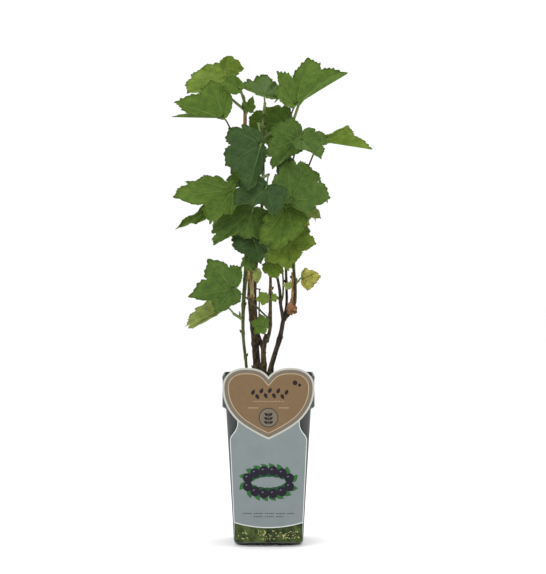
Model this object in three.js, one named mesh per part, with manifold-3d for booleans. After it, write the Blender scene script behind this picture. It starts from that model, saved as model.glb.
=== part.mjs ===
// A blackcurrant bush in a square nursery pot, with a hanging label card.
// Millimetres, +Z up. The front faces -Y. The origin is the middle of the pot's underside.

import * as THREE from "three";
import { mergeVertices } from "three/addons/utils/BufferGeometryUtils.js";
import Module from "manifold-3d";

const wasm = await Module();
wasm.setup();

// Pot: a tapering square tub with a deep collar round its rim
const POT_HEIGHT = 184;
const POT_FOOT_HALF = 37.5;
const POT_WALL_TOP_HALF = 46;
const COLLAR_HALF = 50;
const COLLAR_HEIGHT = 36;
const COLLAR_LEDGE = 2.5;
const POT_WALL = 1.8;
const POT_CORNER = 9;
const FOOT_HEIGHT = 3;
const FOOT_ROUND = [[0, 4.6], [0.7, 2.4], [2.2, 0.9], [5, 0]];
const UNDER_HALF = 30.4;
const FLOOR_THICKNESS = 2.4;
const FOOT_NOTCH_WIDTH = 22;
const CENTRE_PAD_RADIUS = 9;
const DRAIN_RADIUS = 4;
const DRAIN_OFFSET = 22;

// Compost inside the pot, and the gap between pieces that meet
const CLEARANCE = 0.3;
const COMPOST_TOP = 170;

// Label card: a heart over a tall shield, hung over the rim by two folded tongues
const CARD_THICKNESS = 1;
const CARD_TOP = 193;
const HEART_HALF_WIDTH = 49.5;
const HEART_NOTCH = 183.5;
const HEART_WIDEST = 172;
const CARD_WAIST = 136;
const CARD_WAIST_HALF = 33.5;
const SHOULDER_HEIGHT = 115;
const SHOULDER_HALF = 41.5;
const CARD_FOOT = 4.8;
const CARD_CORNER = 4;
const CARD_FOOT_HALF = 36.5;
const TONGUE_WIDTH = 12;
const TONGUE_OFFSET = 22;
const TONGUE_DEPTH = 10;

// The eye from which the photograph's places were measured
const EYE_DISTANCE = 2000;
const EYE_HEIGHT = 285;

// Leaf pattern: five lobes fanned round the point where the leaf stalk joins
const LOBE_TURN = 52;
const LOBE_REACH = [0.55, 0.88, 1, 0.88, 0.55];
const CLEFTS = [0.66, 0.6, 0.6, 0.66];
const EDGE_BULGE = 0.09;
const EARS = [0.45, 0.45];
const STALK_NOTCH = 0.08;
const LEAF_THICKNESS = 1;
const RING = 0.55;
const CREASE = 0.05;
const STALK_SIDES = 3;
const STALK_RADIUS = 1.1;
const STALK_SINK = 4;
const STALK_ARCH = 2;
const STEM_RADIUS = 1.6;
const LIMB_SIDES = 6;
const LIMB_STEP = 26;

// The seeded rule: gaps kept to limbs, leaves and stalks, and how far grown lobes droop
const LIMB_GAP = 6;
const LEAF_GAP = 7;
const STALK_GAP = 4;
const LOBE_DROOP = 0.22;
const GROW_ATTEMPTS = 900;

// The grids that vertices may be snapped to, the first that serves being used
const GRIDS = [0.01, 0.007, 0.013, 0.005, 0.017, 0.003, 0.02];

// Colours
const COLOURS = {
  pot: 0x2b2d2f,
  compost: 0x33261c,
  card: 0xc9cfd2,
  oldWood: 0x4a3a2e,
  youngWood: 0x6d6f3a,
  leaf: 0x4a7a2f,
};

// Places: x across and z up as they look from the eye, y the depth, away from the eye positive

// Each limb lists its middle line as [x, z, y, radius] from its foot up
const LIMBS = {
  cane_left: {
    wood: "youngWood",
    line: [[-22, 165, -4, 1.7], [-25, 198, -6, 1.6], [-28, 228, -9, 1.8], [-27.6, 262, -11, 2.2],
      [-25.4, 294, -10, 2.3], [-25, 332, -6, 1.7], [-31, 372, -2, 1.2]],
  },
  cane_old: {
    wood: "oldWood",
    line: [[-11, 165, 4, 4.1], [-13, 196, 5, 3.9], [-16, 232, 7, 3.8], [-19.5, 266, 8, 3.7],
      [-20, 298, 10, 3.1], [-22, 335, 12, 2.7], [-24, 378, 14, 2.4], [-26, 446, 13, 2.1],
      [-25.5, 484, 9, 1.7]],
  },
  cane_middle: {
    wood: "oldWood",
    line: [[-4, 165, -4, 3.3], [-5, 190, -4, 3], [-5.5, 211, -4, 2.8], [-2, 228, -5, 2.4]],
  },
  cane_right: {
    wood: "oldWood",
    line: [[4, 165, -11, 3], [2, 186, -12, 2.9], [6.5, 204, -12, 2.7], [12.5, 224, -11, 2.5],
      [16.5, 243, -10, 2.3], [18, 248, -10, 2.2]],
  },
  bough_middle_left: {
    from: "cane_middle",
    wood: "oldWood",
    line: [[-5, 207, -3, 2.2], [-8, 217, 5, 2.1], [-12.5, 233, 15, 2], [-15, 262, 18, 2], [-14, 298, 18, 1.9],
      [-9, 345, 16, 1.8], [-6, 400, 15, 1.7], [-6, 440, 9, 1.5], [-5, 474, 3, 1.2]],
  },
  bough_middle_right: {
    from: "cane_middle",
    wood: "oldWood",
    line: [[-2.5, 219, -5, 1.9], [1, 230, -6, 1.9], [2, 242, -6, 1.8], [2, 268, -7, 1.7],
      [2, 292, -8, 1.6], [0, 318, -8, 1.3]],
  },
  bough_right_outer: {
    from: "cane_right",
    wood: "oldWood",
    line: [[17.5, 245, -10.5, 2.1], [23, 251, -12, 2], [28, 260, -12, 1.9], [29.5, 278, -9, 1.8],
      [28, 300, -2, 1.7], [27, 338, 4, 1.6], [26, 380, 6, 1.5], [24, 420, 6, 1.3], [21, 452, 4, 1.1]],
  },
  bough_right_inner: {
    from: "cane_right",
    wood: "oldWood",
    line: [[16.5, 244, -10, 1.9], [13.5, 260, -11, 1.7], [12.5, 276, -11, 1.6], [9.5, 292, -11, 1.3]],
  },
  bough_right_middle: {
    from: "cane_right",
    wood: "oldWood",
    line: [[17.5, 243, -8, 1.6], [20, 262, -4, 1.5], [19.5, 290, -5, 1.4], [19, 318, -8, 1.2]],
  },
  shoot_right_green: {
    from: "bough_right_inner",
    wood: "youngWood",
    line: [[13.5, 262, -11, 1.1], [16, 272, -13, 1.1], [16.2, 286, -13, 1], [15.5, 299, -12, 0.9]],
  },
  shoot_right_red: {
    from: "bough_right_outer",
    wood: "oldWood",
    line: [[28, 259, -12, 1.1], [26, 268, -15, 1.1], [26.8, 282, -15, 1.1], [26, 296, -12, 0.9]],
  },
};

// Each leaf lists its stalk point and five lobe tips as [x, z, y], and how deep its four clefts are.
// A small leaf lists only its middle tip, and the others fan out from it
const LEAVES = {
  top_curl: {
    base: [-48, 521, 8],
    tips: [[-54, 527, 5], [-46, 535, 2], [-27, 521, -6], [-34, 514, 2], [-45, 514, 8]],
    clefts: [0.9, 0.85, 0.8, 0.9],
  },
  top_left: {
    base: [-46, 511, 4],
    tips: [[-51, 526, 12], [-74, 520.5, 12], [-90, 492.5, -12], [-69, 495, -20], [-51, 497, -14]],
    clefts: [0.9, 0.92, 0.7, 0.8],
  },
  left_high: {
    bulge: 0.06,
    base: [-50, 467, -22],
    tips: [[-42, 500, -26], [-63, 509, -34], [-104.5, 484, -28], [-107, 467.5, -14], [-74, 473, 6]],
    clefts: [0.85, 0.66, 0.62, 0.75],
    ears: [0.25, 0.3],
  },
  top_bridge: {
    base: [-31, 499, -30],
    tips: [[-27, 504, -34], [-31, 509, -36], [-40, 515, -38], [-48, 511, -40], [-49, 500, -42]],
    clefts: [0.8, 0.85, 0.85, 0.8],
  },
  top_middle: {
    base: [-5, 491, -18],
    tips: [[-28, 501, -24], [-17, 508, 6], [-1, 514.5, 26], [12, 503, 14], [14, 489, -10]],
    clefts: [0.8, 0.85, 0.66, 0.7],
  },
  top_right: {
    bulge: 0.05,
    base: [30, 481, -22],
    tips: [[7, 497, -24], [9.5, 519, -8], [43.5, 533.5, 6], [87.5, 517, -14], [52, 502, -30]],
    clefts: [0.7, 0.55, 0.74, 0.7],
    ears: [0.45, 0.2],
  },
  centre_behind: {
    base: [17, 457, 22],
    tips: [[24, 478, 26], [4, 479, 26], [-22, 467, 26], [-19, 442, 24], [8, 436, 18]],
    clefts: [0.85, 0.85, 0.8, 0.8],
  },
  right_inner: {
    base: [34, 443, -18],
    tips: [[27, 468, -14], [4, 457, -26], [-2, 431, -36], [4, 410, -38], [25, 425, -30]],
    clefts: [0.7, 0.75, 0.86, 0.75],
  },
  right_high: {
    base: [36, 443, -30],
    tips: [[45, 456.5, -24], [66, 445, -32], [58, 420.5, -52], [44, 431, -48], [31, 432, -42]],
    clefts: [0.7, 0.7, 0.75, 0.85],
  },
  right_far: {
    bulge: 0.03,
    base: [57, 441, 4],
    tips: [[66, 448, 0], [87.5, 458.5, -4], [115, 432, 4], [90, 442.5, 14], [70, 438.5, 16]],
    clefts: [0.75, 0.78, 0.86, 0.8],
    ears: [0.3, 0.3],
  },
  centre_front: {
    base: [-8, 438, -48],
    tips: [[-25, 459, -40], [-44, 456, -40], [-48, 413.5, -54], [-23, 386.5, -66], [-6, 412, -36]],
    clefts: [0.75, 0.72, 0.66, 0.75],
    ears: [0.45, 0.2],
  },
  right_mid: {
    base: [25, 375.5, -40],
    tips: [[4, 397, -34], [20, 418, -24], [43, 416, -18], [68.5, 378.5, -40], [46, 361, -52]],
    clefts: [0.8, 0.86, 0.72, 0.7],
    ears: [0.45, 0.35],
  },
  right_behind: {
    base: [24, 400, 0],
    tips: [[11, 398, -6], [9, 414, -10], [13, 432, -8], [20, 434, -4], [26, 416, 0]],
    clefts: [0.85, 0.85, 0.85, 0.85],
  },
  left_behind: { base: [-30, 397, 2], tip: [-41, 413, -2] },
  top_bud: { base: [-22, 475, 2], tip: [-17, 491, -4], width: 0.6 },
  right_withered: { base: [38, 350, -14], tip: [46, 357, -20], width: 0.8 },
  right_tail: {
    base: [35, 369, -14],
    tips: [[34, 380, -8], [48, 373, -10], [58, 355, -20], [44, 353, -24], [33, 352, -22]],
    clefts: [0.8, 0.75, 0.66, 0.8],
  },
  centre: {
    base: [-2, 390.5, -50],
    tips: [[-26, 404, -42], [-38, 370, -58], [-20, 372, -64], [7, 357, -70], [21, 388, -56]],
    clefts: [0.8, 0.85, 0.5, 0.75],
  },
  left_mid: {
    bulge: 0.1,
    base: [-40, 387.5, -30],
    tips: [[-48, 398, -20], [-80, 398.5, -20], [-106, 379.5, -34], [-65, 349.5, -52], [-41, 361, -50]],
    clefts: [0.88, 0.86, 0.48, 0.72],
    ears: [0.35, 0.35],
  },
  left_tail: {
    base: [-51, 374, -10],
    tips: [[-60, 375, -4], [-78, 363, -8], [-103, 343.5, -18], [-81, 350, -22], [-60, 357, -20]],
    clefts: [0.8, 0.82, 0.8, 0.8],
  },
  low_middle: {
    base: [-17, 365, -26],
    tips: [[-62, 344, -28], [-61, 326.5, -38], [-27, 333, -42], [-7, 333, -40], [8, 346, -30]],
    clefts: [0.85, 0.5, 0.8, 0.75],
  },
  low_right_front: {
    base: [20, 367, -32],
    tips: [[-1, 361, -36], [-10, 328, -54], [12, 319.5, -58], [31, 335, -54], [43, 357, -38]],
    clefts: [0.75, 0.8, 0.8, 0.85],
  },
  low_right: {
    base: [21, 328.5, -26],
    tips: [[43, 347.5, -22], [53, 327.5, -34], [30, 308, -44], [22, 298, -48], [-2, 309, -42]],
    clefts: [0.74, 0.6, 0.8, 0.72],
  },
  low_hanging: {
    base: [3, 306, -18],
    tips: [[-7, 305, -16], [-7, 299, -20], [9, 289.5, -28], [17, 297, -24], [12, 306, -18]],
    clefts: [0.8, 0.75, 0.8, 0.8],
  },
  low_grey: {
    base: [-16, 332.5, -30],
    tips: [[-40, 336, -28], [-37.5, 321.5, -34], [-8, 305.5, -42], [-1, 319, -38], [-6, 331, -32]],
    clefts: [0.9, 0.56, 0.75, 0.8],
  },
  low_dark: {
    base: [-21, 320, -20],
    tips: [[-27, 313, -18], [-31, 303, -24], [-24, 297, -28], [-15, 298.5, -26], [-14, 311, -20]],
    clefts: [0.8, 0.8, 0.8, 0.8],
  },
  low_left: {
    bulge: 0.11,
    base: [-39, 277.5, -30],
    tips: [[-30, 302.5, -20], [-67, 311.5, -24], [-89, 269, -36], [-60, 251.5, -46], [-31, 264, -40]],
    clefts: [0.55, 0.5, 0.42, 0.7],
  },
  low_left_curl: {
    base: [-47, 257, -8],
    tips: [[-56, 266, -4], [-72, 261, -6], [-90, 240, -14], [-84, 234, -18], [-58, 250, -16]],
    clefts: [0.9, 0.9, 0.95, 0.85],
  },
  low_pale: {
    base: [-13, 299, -24],
    tips: [[-18, 294, -24], [-15, 286.5, -28], [-12, 284, -30], [-9, 289, -28], [-8, 297, -25]],
    clefts: [0.8, 0.85, 0.85, 0.8],
  },
  sprig_low_leaf: { base: [-4, 237, -10], tip: [-20, 241.5, -14] },
  sprig_middle_leaf: { base: [-2.5, 268, -12], tip: [-14.5, 266, -14], width: 0.9 },
  sprig_middle_bud: { base: [4.5, 268, -11], tip: [12, 268, -13], width: 0.9 },
  sprig_pale: {
    base: [37, 289, -6],
    tips: [[39.7, 301, -4], [53, 296.5, -8], [57.7, 290.5, -12], [52, 283, -14], [43.2, 276, -12]],
    clefts: [0.72, 0.9, 0.8, 0.9],
    ears: [0.2, 0.2],
  },
  sprig_dead: { base: [26, 252, -15], tip: [24.5, 267, -18], width: 0.6 },
  sprig_tiny: { base: [24, 281, -16], tip: [15, 282.5, -18], width: 0.7 },
};

// Each mass grows from a limb at a height, through a hub, to its leaves; via bends a leaf's own stalk
const MASSES = {
  leaves_top_left: {
    limb: "cane_old",
    height: 482,
    hub: [-29, 492, 4],
    leaves: ["top_curl", "top_left", "top_bridge"],
  },
  leaves_left_high: { limb: "cane_old", height: 428, hub: [-41, 452, -8], leaves: ["left_high"] },
  leaves_top_middle: { limb: "bough_middle_left", height: 472, hub: [-4, 482, -8], leaves: ["top_middle"] },
  leaves_top_right: { limb: "bough_right_outer", height: 450, hub: [23, 464, -10], leaves: ["top_right"] },
  leaves_centre_behind: {
    limb: "bough_middle_left",
    height: 446,
    hub: [6, 452, 16],
    leaves: ["centre_behind"],
  },
  leaves_right_inner: {
    limb: "bough_right_outer",
    height: 412,
    hub: [30, 431, -12],
    leaves: ["right_inner", "right_high"],
  },
  leaves_right_behind: {
    limb: "bough_right_outer",
    height: 400,
    hub: [23.5, 398, 1],
    leaves: ["right_behind"],
  },
  leaves_left_behind: { limb: "cane_old", height: 388, hub: [-27, 392, 8], leaves: ["left_behind"] },
  sprig_top: { limb: "cane_old", height: 468, hub: [-24, 472, 5], leaves: ["top_bud"], stem: 1 },
  leaves_right_far: { limb: "bough_right_outer", height: 386, hub: [43, 410, -2], leaves: ["right_far"] },
  leaves_centre_front: {
    limb: "bough_middle_left",
    height: 458,
    hub: [-11, 460, -26],
    leaves: ["centre_front"],
  },
  leaves_centre: { limb: "bough_middle_left", height: 402, hub: [0, 404, -24], leaves: ["centre"] },
  leaves_right: {
    limb: "bough_right_outer",
    height: 358,
    hub: [30, 366, -16],
    leaves: ["right_mid", "right_tail", "right_withered"],
  },
  leaves_left: {
    limb: "cane_left",
    height: 370,
    hub: [-36, 380, -8],
    leaves: ["left_mid", "left_tail"],
  },
  leaves_low_middle: {
    limb: "bough_middle_right",
    height: 316,
    hub: [-8, 340, -18],
    leaves: ["low_middle", "low_grey"],
  },
  leaves_low_dark: { limb: "cane_left", height: 306, hub: [-24, 318, -14], leaves: ["low_dark", "low_pale"] },
  leaves_low_right: {
    limb: "bough_right_middle",
    height: 316,
    hub: [20, 340, -18],
    leaves: ["low_right_front", "low_right"],
  },
  leaves_low_hanging: { limb: "bough_right_inner", height: 290, hub: [6, 298, -13], leaves: ["low_hanging"] },
  leaves_low_left: {
    limb: "bough_middle_right",
    height: 243,
    hub: [-9, 254, -22],
    leaves: ["low_left"],
  },
  sprig_low: {
    limb: "bough_middle_right",
    height: 233,
    hub: [-2, 236, -9],
    leaves: ["sprig_low_leaf"],
    stem: 0.9,
  },
  sprig_middle_left: {
    limb: "bough_middle_right",
    height: 266,
    hub: [0, 267.5, -10],
    leaves: ["sprig_middle_leaf"],
    stem: 0.9,
  },
  sprig_middle_right: {
    limb: "bough_middle_right",
    height: 268,
    hub: [4, 268, -9],
    leaves: ["sprig_middle_bud"],
    stem: 0.9,
  },
  sprig_pale_leaf: {
    limb: "bough_right_outer",
    height: 282,
    hub: [33, 286, -4],
    leaves: ["sprig_pale"],
    stem: 0.8,
  },
  sprig_dead_leaf: {
    limb: "bough_right_outer",
    height: 253,
    hub: [25.5, 250, -14],
    leaves: ["sprig_dead"],
    stem: 0.9,
  },
  sprig_tiny_leaf: {
    limb: "shoot_right_red",
    height: 279,
    hub: [25, 280.5, -16],
    leaves: ["sprig_tiny"],
    stem: 0.8,
  },
  leaves_lowest_left: { limb: "cane_left", height: 244, hub: [-38, 250, -10], leaves: ["low_left_curl"] },
};

// Masses on the hidden side, grown by the seeded rule: hub and space in true [x, y, z]
const BACK_MASSES = {
  leaves_back_low: {
    limb: "bough_right_middle",
    height: 305,
    hub: [12, 14, 334],
    space: [[-46, 2, 296], [48, 90, 380]],
    headings: [-20, 200],
    sizes: [32, 48],
    count: 4,
    seed: 59,
  },
  leaves_back_left: {
    limb: "cane_old",
    height: 365,
    hub: [-28, 26, 376],
    space: [[-66, 6, 320], [0, 92, 420]],
    headings: [60, 220],
    sizes: [30, 50],
    count: 4,
    seed: 17,
  },
  leaves_back_right: {
    limb: "bough_right_outer",
    height: 378,
    hub: [28, 24, 392],
    space: [[-8, 6, 340], [66, 94, 440]],
    headings: [-40, 120],
    sizes: [30, 50],
    count: 4,
    seed: 12,
  },
  leaves_back_high: {
    limb: "bough_middle_left",
    height: 428,
    hub: [-6, 26, 442],
    space: [[-48, 8, 370], [56, 94, 486]],
    headings: [-30, 210],
    sizes: [28, 46],
    count: 3,
    seed: 36,
  },
  leaves_back_top_left: {
    limb: "cane_old",
    height: 476,
    hub: [-42, 18, 490],
    space: [[-96, 6, 462], [-40, 84, 520]],
    headings: [60, 190],
    sizes: [28, 44],
    count: 2,
    seed: 65,
  },
  leaves_back_top_right: {
    limb: "bough_right_outer",
    height: 446,
    hub: [34, 16, 484],
    space: [[4, 2, 440], [76, 84, 530]],
    headings: [20, 150],
    sizes: [24, 38],
    count: 1,
    seed: 60,
  },
};

// Gaps of sky in the crown, seen from the front: left, right, low, high
const SKY = [
  [-7, 9, 396, 436],
  [26, 50, 414, 434],
  [-60, -26, 396, 458],
  [-110, -52, 440, 470],
  [-44, -27, 455, 499],
  [-22, 6, 468, 488],
  [41, 120, 455, 502],
  [-60, -31, 296, 320],
  [32, 60, 296, 319],
  [55, 80, 340, 374],
];

// Turns a place seen from the eye into a point of space at its depth
function seen([x, z, y]) {
  const scale = 1 + y / EYE_DISTANCE;
  return new THREE.Vector3(x * scale, y, EYE_HEIGHT + (z - EYE_HEIGHT) * scale);
}

const TO_EYE = new THREE.Vector3(0, -1, 0);
const UP = new THREE.Vector3(0, 0, 1);

function mix(a, b, share) {
  return a + (b - a) * share;
}

// Solids

function toSolid(geometry) {
  const bare = geometry.clone();
  for (const name of Object.keys(bare.attributes)) {
    if (name !== "position") bare.deleteAttribute(name);
  }
  const merged = mergeVertices(bare, 1e-4);
  const solid = new wasm.Manifold(
    new wasm.Mesh({
      numProp: 3,
      vertProperties: new Float32Array(merged.attributes.position.array),
      triVerts: new Uint32Array(merged.index.array),
    }),
  );
  return solid;
}

// Keeps the largest body, which drops loose scraps and fills sealed hollows
function largestBody(solid) {
  const bodies = solid.decompose();
  bodies.sort((a, b) => b.volume() - a.volume());
  return bodies[0];
}

function edgeKeys([a, b, c]) {
  return [[a, b], [b, c], [c, a]].map(([p, q]) => `${Math.min(p, q)},${Math.max(p, q)}`);
}

// The faces on each edge
function facesByEdge(faces) {
  const edges = new Map();
  for (const face of faces) {
    for (const key of edgeKeys(face)) edges.set(key, [...(edges.get(key) ?? []), face]);
  }
  return edges;
}

// The largest set of faces that hang together by their edges
function largestPatch(faces) {
  const edges = facesByEdge(faces);
  const met = new Set();
  let best = [];
  for (const start of faces) {
    if (met.has(start)) continue;
    const patch = [start];
    met.add(start);
    for (const face of patch) {
      for (const neighbour of edgeKeys(face).flatMap((key) => edges.get(key))) {
        if (met.has(neighbour)) continue;
        met.add(neighbour);
        patch.push(neighbour);
      }
    }
    if (patch.length > best.length) best = patch;
  }
  return best;
}

// Snaps vertices to a grid, then drops faces that close up and pairs that lie back to back
function snapped({ vertProperties, triVerts }, grid) {
  const places = new Map();
  const positions = [];
  const index = [];
  for (let i = 0; i < vertProperties.length; i += 3) {
    const place = [0, 1, 2].map((k) => Math.round(vertProperties[i + k] / grid));
    const key = place.join();
    if (!places.has(key)) {
      places.set(key, positions.length / 3);
      positions.push(...place.map((value) => value * grid));
    }
    index.push(places.get(key));
  }
  const faces = new Map();
  for (let i = 0; i < triVerts.length; i += 3) {
    const face = [index[triVerts[i]], index[triVerts[i + 1]], index[triVerts[i + 2]]];
    if (new Set(face).size < 3) continue;
    const key = [...face].sort((a, b) => a - b).join();
    if (faces.has(key)) faces.delete(key);
    else faces.set(key, face);
  }
  return { positions, faces: largestPatch([...faces.values()]) };
}

// Two faces on every edge: a grid that pinches the skin together somewhere is passed over
function cleanSkin(name, solid) {
  const raw = solid.getMesh();
  for (const grid of GRIDS) {
    const skin = snapped(raw, grid);
    if ([...facesByEdge(skin.faces).values()].every((pair) => pair.length === 2)) return skin;
  }
  throw new Error(`no grid leaves ${name} closed`);
}

function toMesh(name, solid, colour, roughness) {
  const { positions, faces } = cleanSkin(name, solid);
  const geometry = new THREE.BufferGeometry();
  geometry.setAttribute("position", new THREE.Float32BufferAttribute(positions, 3));
  geometry.setIndex(faces.flat());
  geometry.computeVertexNormals();
  const mesh = new THREE.Mesh(geometry, new THREE.MeshStandardMaterial({ color: colour, roughness }));
  mesh.name = name;
  return mesh;
}

// Makes an indexed geometry from vertices and triangles, turned inside out if it faces inwards
function closedGeometry(vertices, triangles) {
  let volume = 0;
  for (const [a, b, c] of triangles) {
    volume += vertices[a].dot(vertices[b].clone().cross(vertices[c]));
  }
  const faces = volume < 0 ? triangles.map(([a, b, c]) => [a, c, b]) : triangles;
  const geometry = new THREE.BufferGeometry();
  const places = vertices.flatMap((vertex) => vertex.toArray());
  geometry.setAttribute("position", new THREE.Float32BufferAttribute(places, 3));
  geometry.setIndex(faces.flat());
  return geometry;
}

// Joins rings of equal length into a closed skin, with a flat cap at each end
function loft(rings) {
  const count = rings[0].length;
  const vertices = rings.flat();
  const triangles = [];
  for (let level = 0; level < rings.length - 1; level += 1) {
    for (let i = 0; i < count; i += 1) {
      const next = (i + 1) % count;
      const a = level * count + i;
      const b = level * count + next;
      triangles.push([a, b, b + count]);
      triangles.push([a, b + count, a + count]);
    }
  }
  const top = (rings.length - 1) * count;
  for (let i = 1; i < count - 1; i += 1) {
    triangles.push([0, i + 1, i]);
    triangles.push([top, top + i, top + i + 1]);
  }
  return closedGeometry(vertices, triangles);
}

// Pot

const CORNER_STEPS = 4;

function roundedSquare(half, corner, z) {
  const ring = [];
  for (let side = 0; side < 4; side += 1) {
    const middle = Math.PI / 4 + (side * Math.PI) / 2;
    const centreX = Math.sign(Math.cos(middle)) * (half - corner);
    const centreY = Math.sign(Math.sin(middle)) * (half - corner);
    for (let step = 0; step <= CORNER_STEPS; step += 1) {
      const angle = middle - Math.PI / 4 + (step / CORNER_STEPS) * (Math.PI / 2);
      ring.push(new THREE.Vector3(
        centreX + corner * Math.cos(angle),
        centreY + corner * Math.sin(angle),
        z,
      ));
    }
  }
  return ring;
}

function wallHalf(z) {
  const ledge = POT_HEIGHT - COLLAR_HEIGHT;
  return POT_FOOT_HALF + ((POT_WALL_TOP_HALF - POT_FOOT_HALF) * z) / ledge;
}

// The skin of the pot, moved inwards by inset, from one height to another; round rounds its foot
function potSkin(inset, from, to, round = [[from, 0]]) {
  const ledge = POT_HEIGHT - COLLAR_HEIGHT;
  const levels = round.map(([z, back]) => [z, wallHalf(z) - back]);
  levels.push([ledge, POT_WALL_TOP_HALF], [ledge + COLLAR_LEDGE, COLLAR_HALF], [to, COLLAR_HALF]);
  return loft(levels.map(([z, half]) => roundedSquare(half - inset, POT_CORNER - inset, z)));
}

function boxAt(width, depth, height, x, y, z) {
  return toSolid(new THREE.BoxGeometry(width, depth, height).translate(x, y, z));
}

function pot() {
  const cut = 1;
  const floor = FOOT_HEIGHT + FLOOR_THICKNESS;
  const drum = (radius, sides, height, x, y, z) => {
    const upright = new THREE.CylinderGeometry(radius, radius, height, sides).rotateX(Math.PI / 2);
    return toSolid(upright.translate(x, y, z));
  };
  let solid = toSolid(potSkin(0, 0, POT_HEIGHT, FOOT_ROUND));
  solid = solid.subtract(toSolid(potSkin(POT_WALL, floor, POT_HEIGHT + cut)));
  solid = solid.subtract(toSolid(loft([
    roundedSquare(UNDER_HALF, POT_CORNER - 2 * POT_WALL, -cut),
    roundedSquare(UNDER_HALF, POT_CORNER - 2 * POT_WALL, FOOT_HEIGHT),
  ])));
  const across = 3 * POT_FOOT_HALF;
  solid = solid.subtract(boxAt(FOOT_NOTCH_WIDTH, across, 2 * FOOT_HEIGHT - CLEARANCE, 0, 0, 0));
  solid = solid.subtract(boxAt(across, FOOT_NOTCH_WIDTH, 2 * FOOT_HEIGHT - CLEARANCE, 0, 0, 0));
  solid = solid.add(drum(CENTRE_PAD_RADIUS, 16, floor, 0, 0, floor / 2));
  for (const [sx, sy] of [[1, 1], [1, -1], [-1, 1], [-1, -1]]) {
    solid = solid.subtract(drum(DRAIN_RADIUS, 10, 4 * floor, sx * DRAIN_OFFSET, sy * DRAIN_OFFSET, 0));
  }
  return toMesh("pot", largestBody(solid), COLOURS.pot, 0.6);
}

function compost() {
  const inset = POT_WALL + CLEARANCE;
  const bottom = FOOT_HEIGHT + FLOOR_THICKNESS + CLEARANCE;
  return toMesh("compost", toSolid(potSkin(inset, bottom, COMPOST_TOP)), COLOURS.compost, 1);
}

// Label card

function cardOutline() {
  const shape = new THREE.Shape();
  const tall = CARD_TOP - HEART_NOTCH;
  const lobe = HEART_HALF_WIDTH / 2;
  shape.moveTo(0, HEART_NOTCH);
  shape.bezierCurveTo(lobe * 0.3, HEART_NOTCH + tall, lobe * 0.75, CARD_TOP, lobe * 1.02, CARD_TOP);
  shape.bezierCurveTo(lobe * 1.62, CARD_TOP, HEART_HALF_WIDTH, CARD_TOP - 9, HEART_HALF_WIDTH, HEART_WIDEST);
  shape.bezierCurveTo(HEART_HALF_WIDTH, HEART_WIDEST - 16, CARD_WAIST_HALF + 9, CARD_WAIST + 9,
    CARD_WAIST_HALF, CARD_WAIST);
  shape.bezierCurveTo(CARD_WAIST_HALF - 1, CARD_WAIST - 12, SHOULDER_HALF, SHOULDER_HEIGHT + 7,
    SHOULDER_HALF, SHOULDER_HEIGHT);
  shape.lineTo(CARD_FOOT_HALF, CARD_FOOT + CARD_CORNER);
  shape.quadraticCurveTo(CARD_FOOT_HALF, CARD_FOOT, CARD_FOOT_HALF - CARD_CORNER, CARD_FOOT);
  shape.lineTo(CARD_CORNER - CARD_FOOT_HALF, CARD_FOOT);
  shape.quadraticCurveTo(-CARD_FOOT_HALF, CARD_FOOT, -CARD_FOOT_HALF, CARD_FOOT + CARD_CORNER);
  shape.lineTo(-SHOULDER_HALF, SHOULDER_HEIGHT);
  shape.bezierCurveTo(-SHOULDER_HALF, SHOULDER_HEIGHT + 7, 1 - CARD_WAIST_HALF, CARD_WAIST - 12,
    -CARD_WAIST_HALF, CARD_WAIST);
  shape.bezierCurveTo(-CARD_WAIST_HALF - 9, CARD_WAIST + 9, -HEART_HALF_WIDTH, HEART_WIDEST - 16,
    -HEART_HALF_WIDTH, HEART_WIDEST);
  shape.bezierCurveTo(-HEART_HALF_WIDTH, CARD_TOP - 9, -lobe * 1.62, CARD_TOP, -lobe * 1.02, CARD_TOP);
  shape.bezierCurveTo(-lobe * 0.75, CARD_TOP, -lobe * 0.3, HEART_NOTCH + tall, 0, HEART_NOTCH);
  return shape;
}

function labelCard() {
  const front = -(COLLAR_HALF + CLEARANCE + CARD_THICKNESS);
  const plate = new THREE.ExtrudeGeometry(cardOutline(), {
    depth: CARD_THICKNESS,
    bevelEnabled: false,
    curveSegments: 5,
  });
  plate.rotateX(Math.PI / 2).translate(0, front + CARD_THICKNESS, 0);
  let solid = toSolid(plate);
  const inside = -(COLLAR_HALF - POT_WALL - CLEARANCE);
  const bridge = inside + CARD_THICKNESS - front;
  const over = POT_HEIGHT + CLEARANCE + CARD_THICKNESS / 2;
  for (const side of [-1, 1]) {
    const x = side * TONGUE_OFFSET;
    solid = solid.add(boxAt(TONGUE_WIDTH, bridge, CARD_THICKNESS, x, front + bridge / 2, over));
    solid = solid.add(boxAt(TONGUE_WIDTH, CARD_THICKNESS, TONGUE_DEPTH, x, inside + CARD_THICKNESS / 2,
      over + CARD_THICKNESS / 2 - TONGUE_DEPTH / 2));
  }
  return toMesh("label_card", largestBody(solid), COLOURS.card, 0.5);
}

// Limbs

function limbCurve(points) {
  return new THREE.CatmullRomCurve3(points, false, "catmullrom", 0.5);
}

// Stations along a smooth line, as shares of it: every given point, and more between far ones
function stationsOf(points, step) {
  const spans = points.length - 1;
  const stations = [0];
  for (let span = 0; span < spans; span += 1) {
    const parts = Math.max(1, Math.round(points[span].distanceTo(points[span + 1]) / step));
    for (let part = 1; part <= parts; part += 1) stations.push((span + part / parts) / spans);
  }
  return stations;
}

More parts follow.
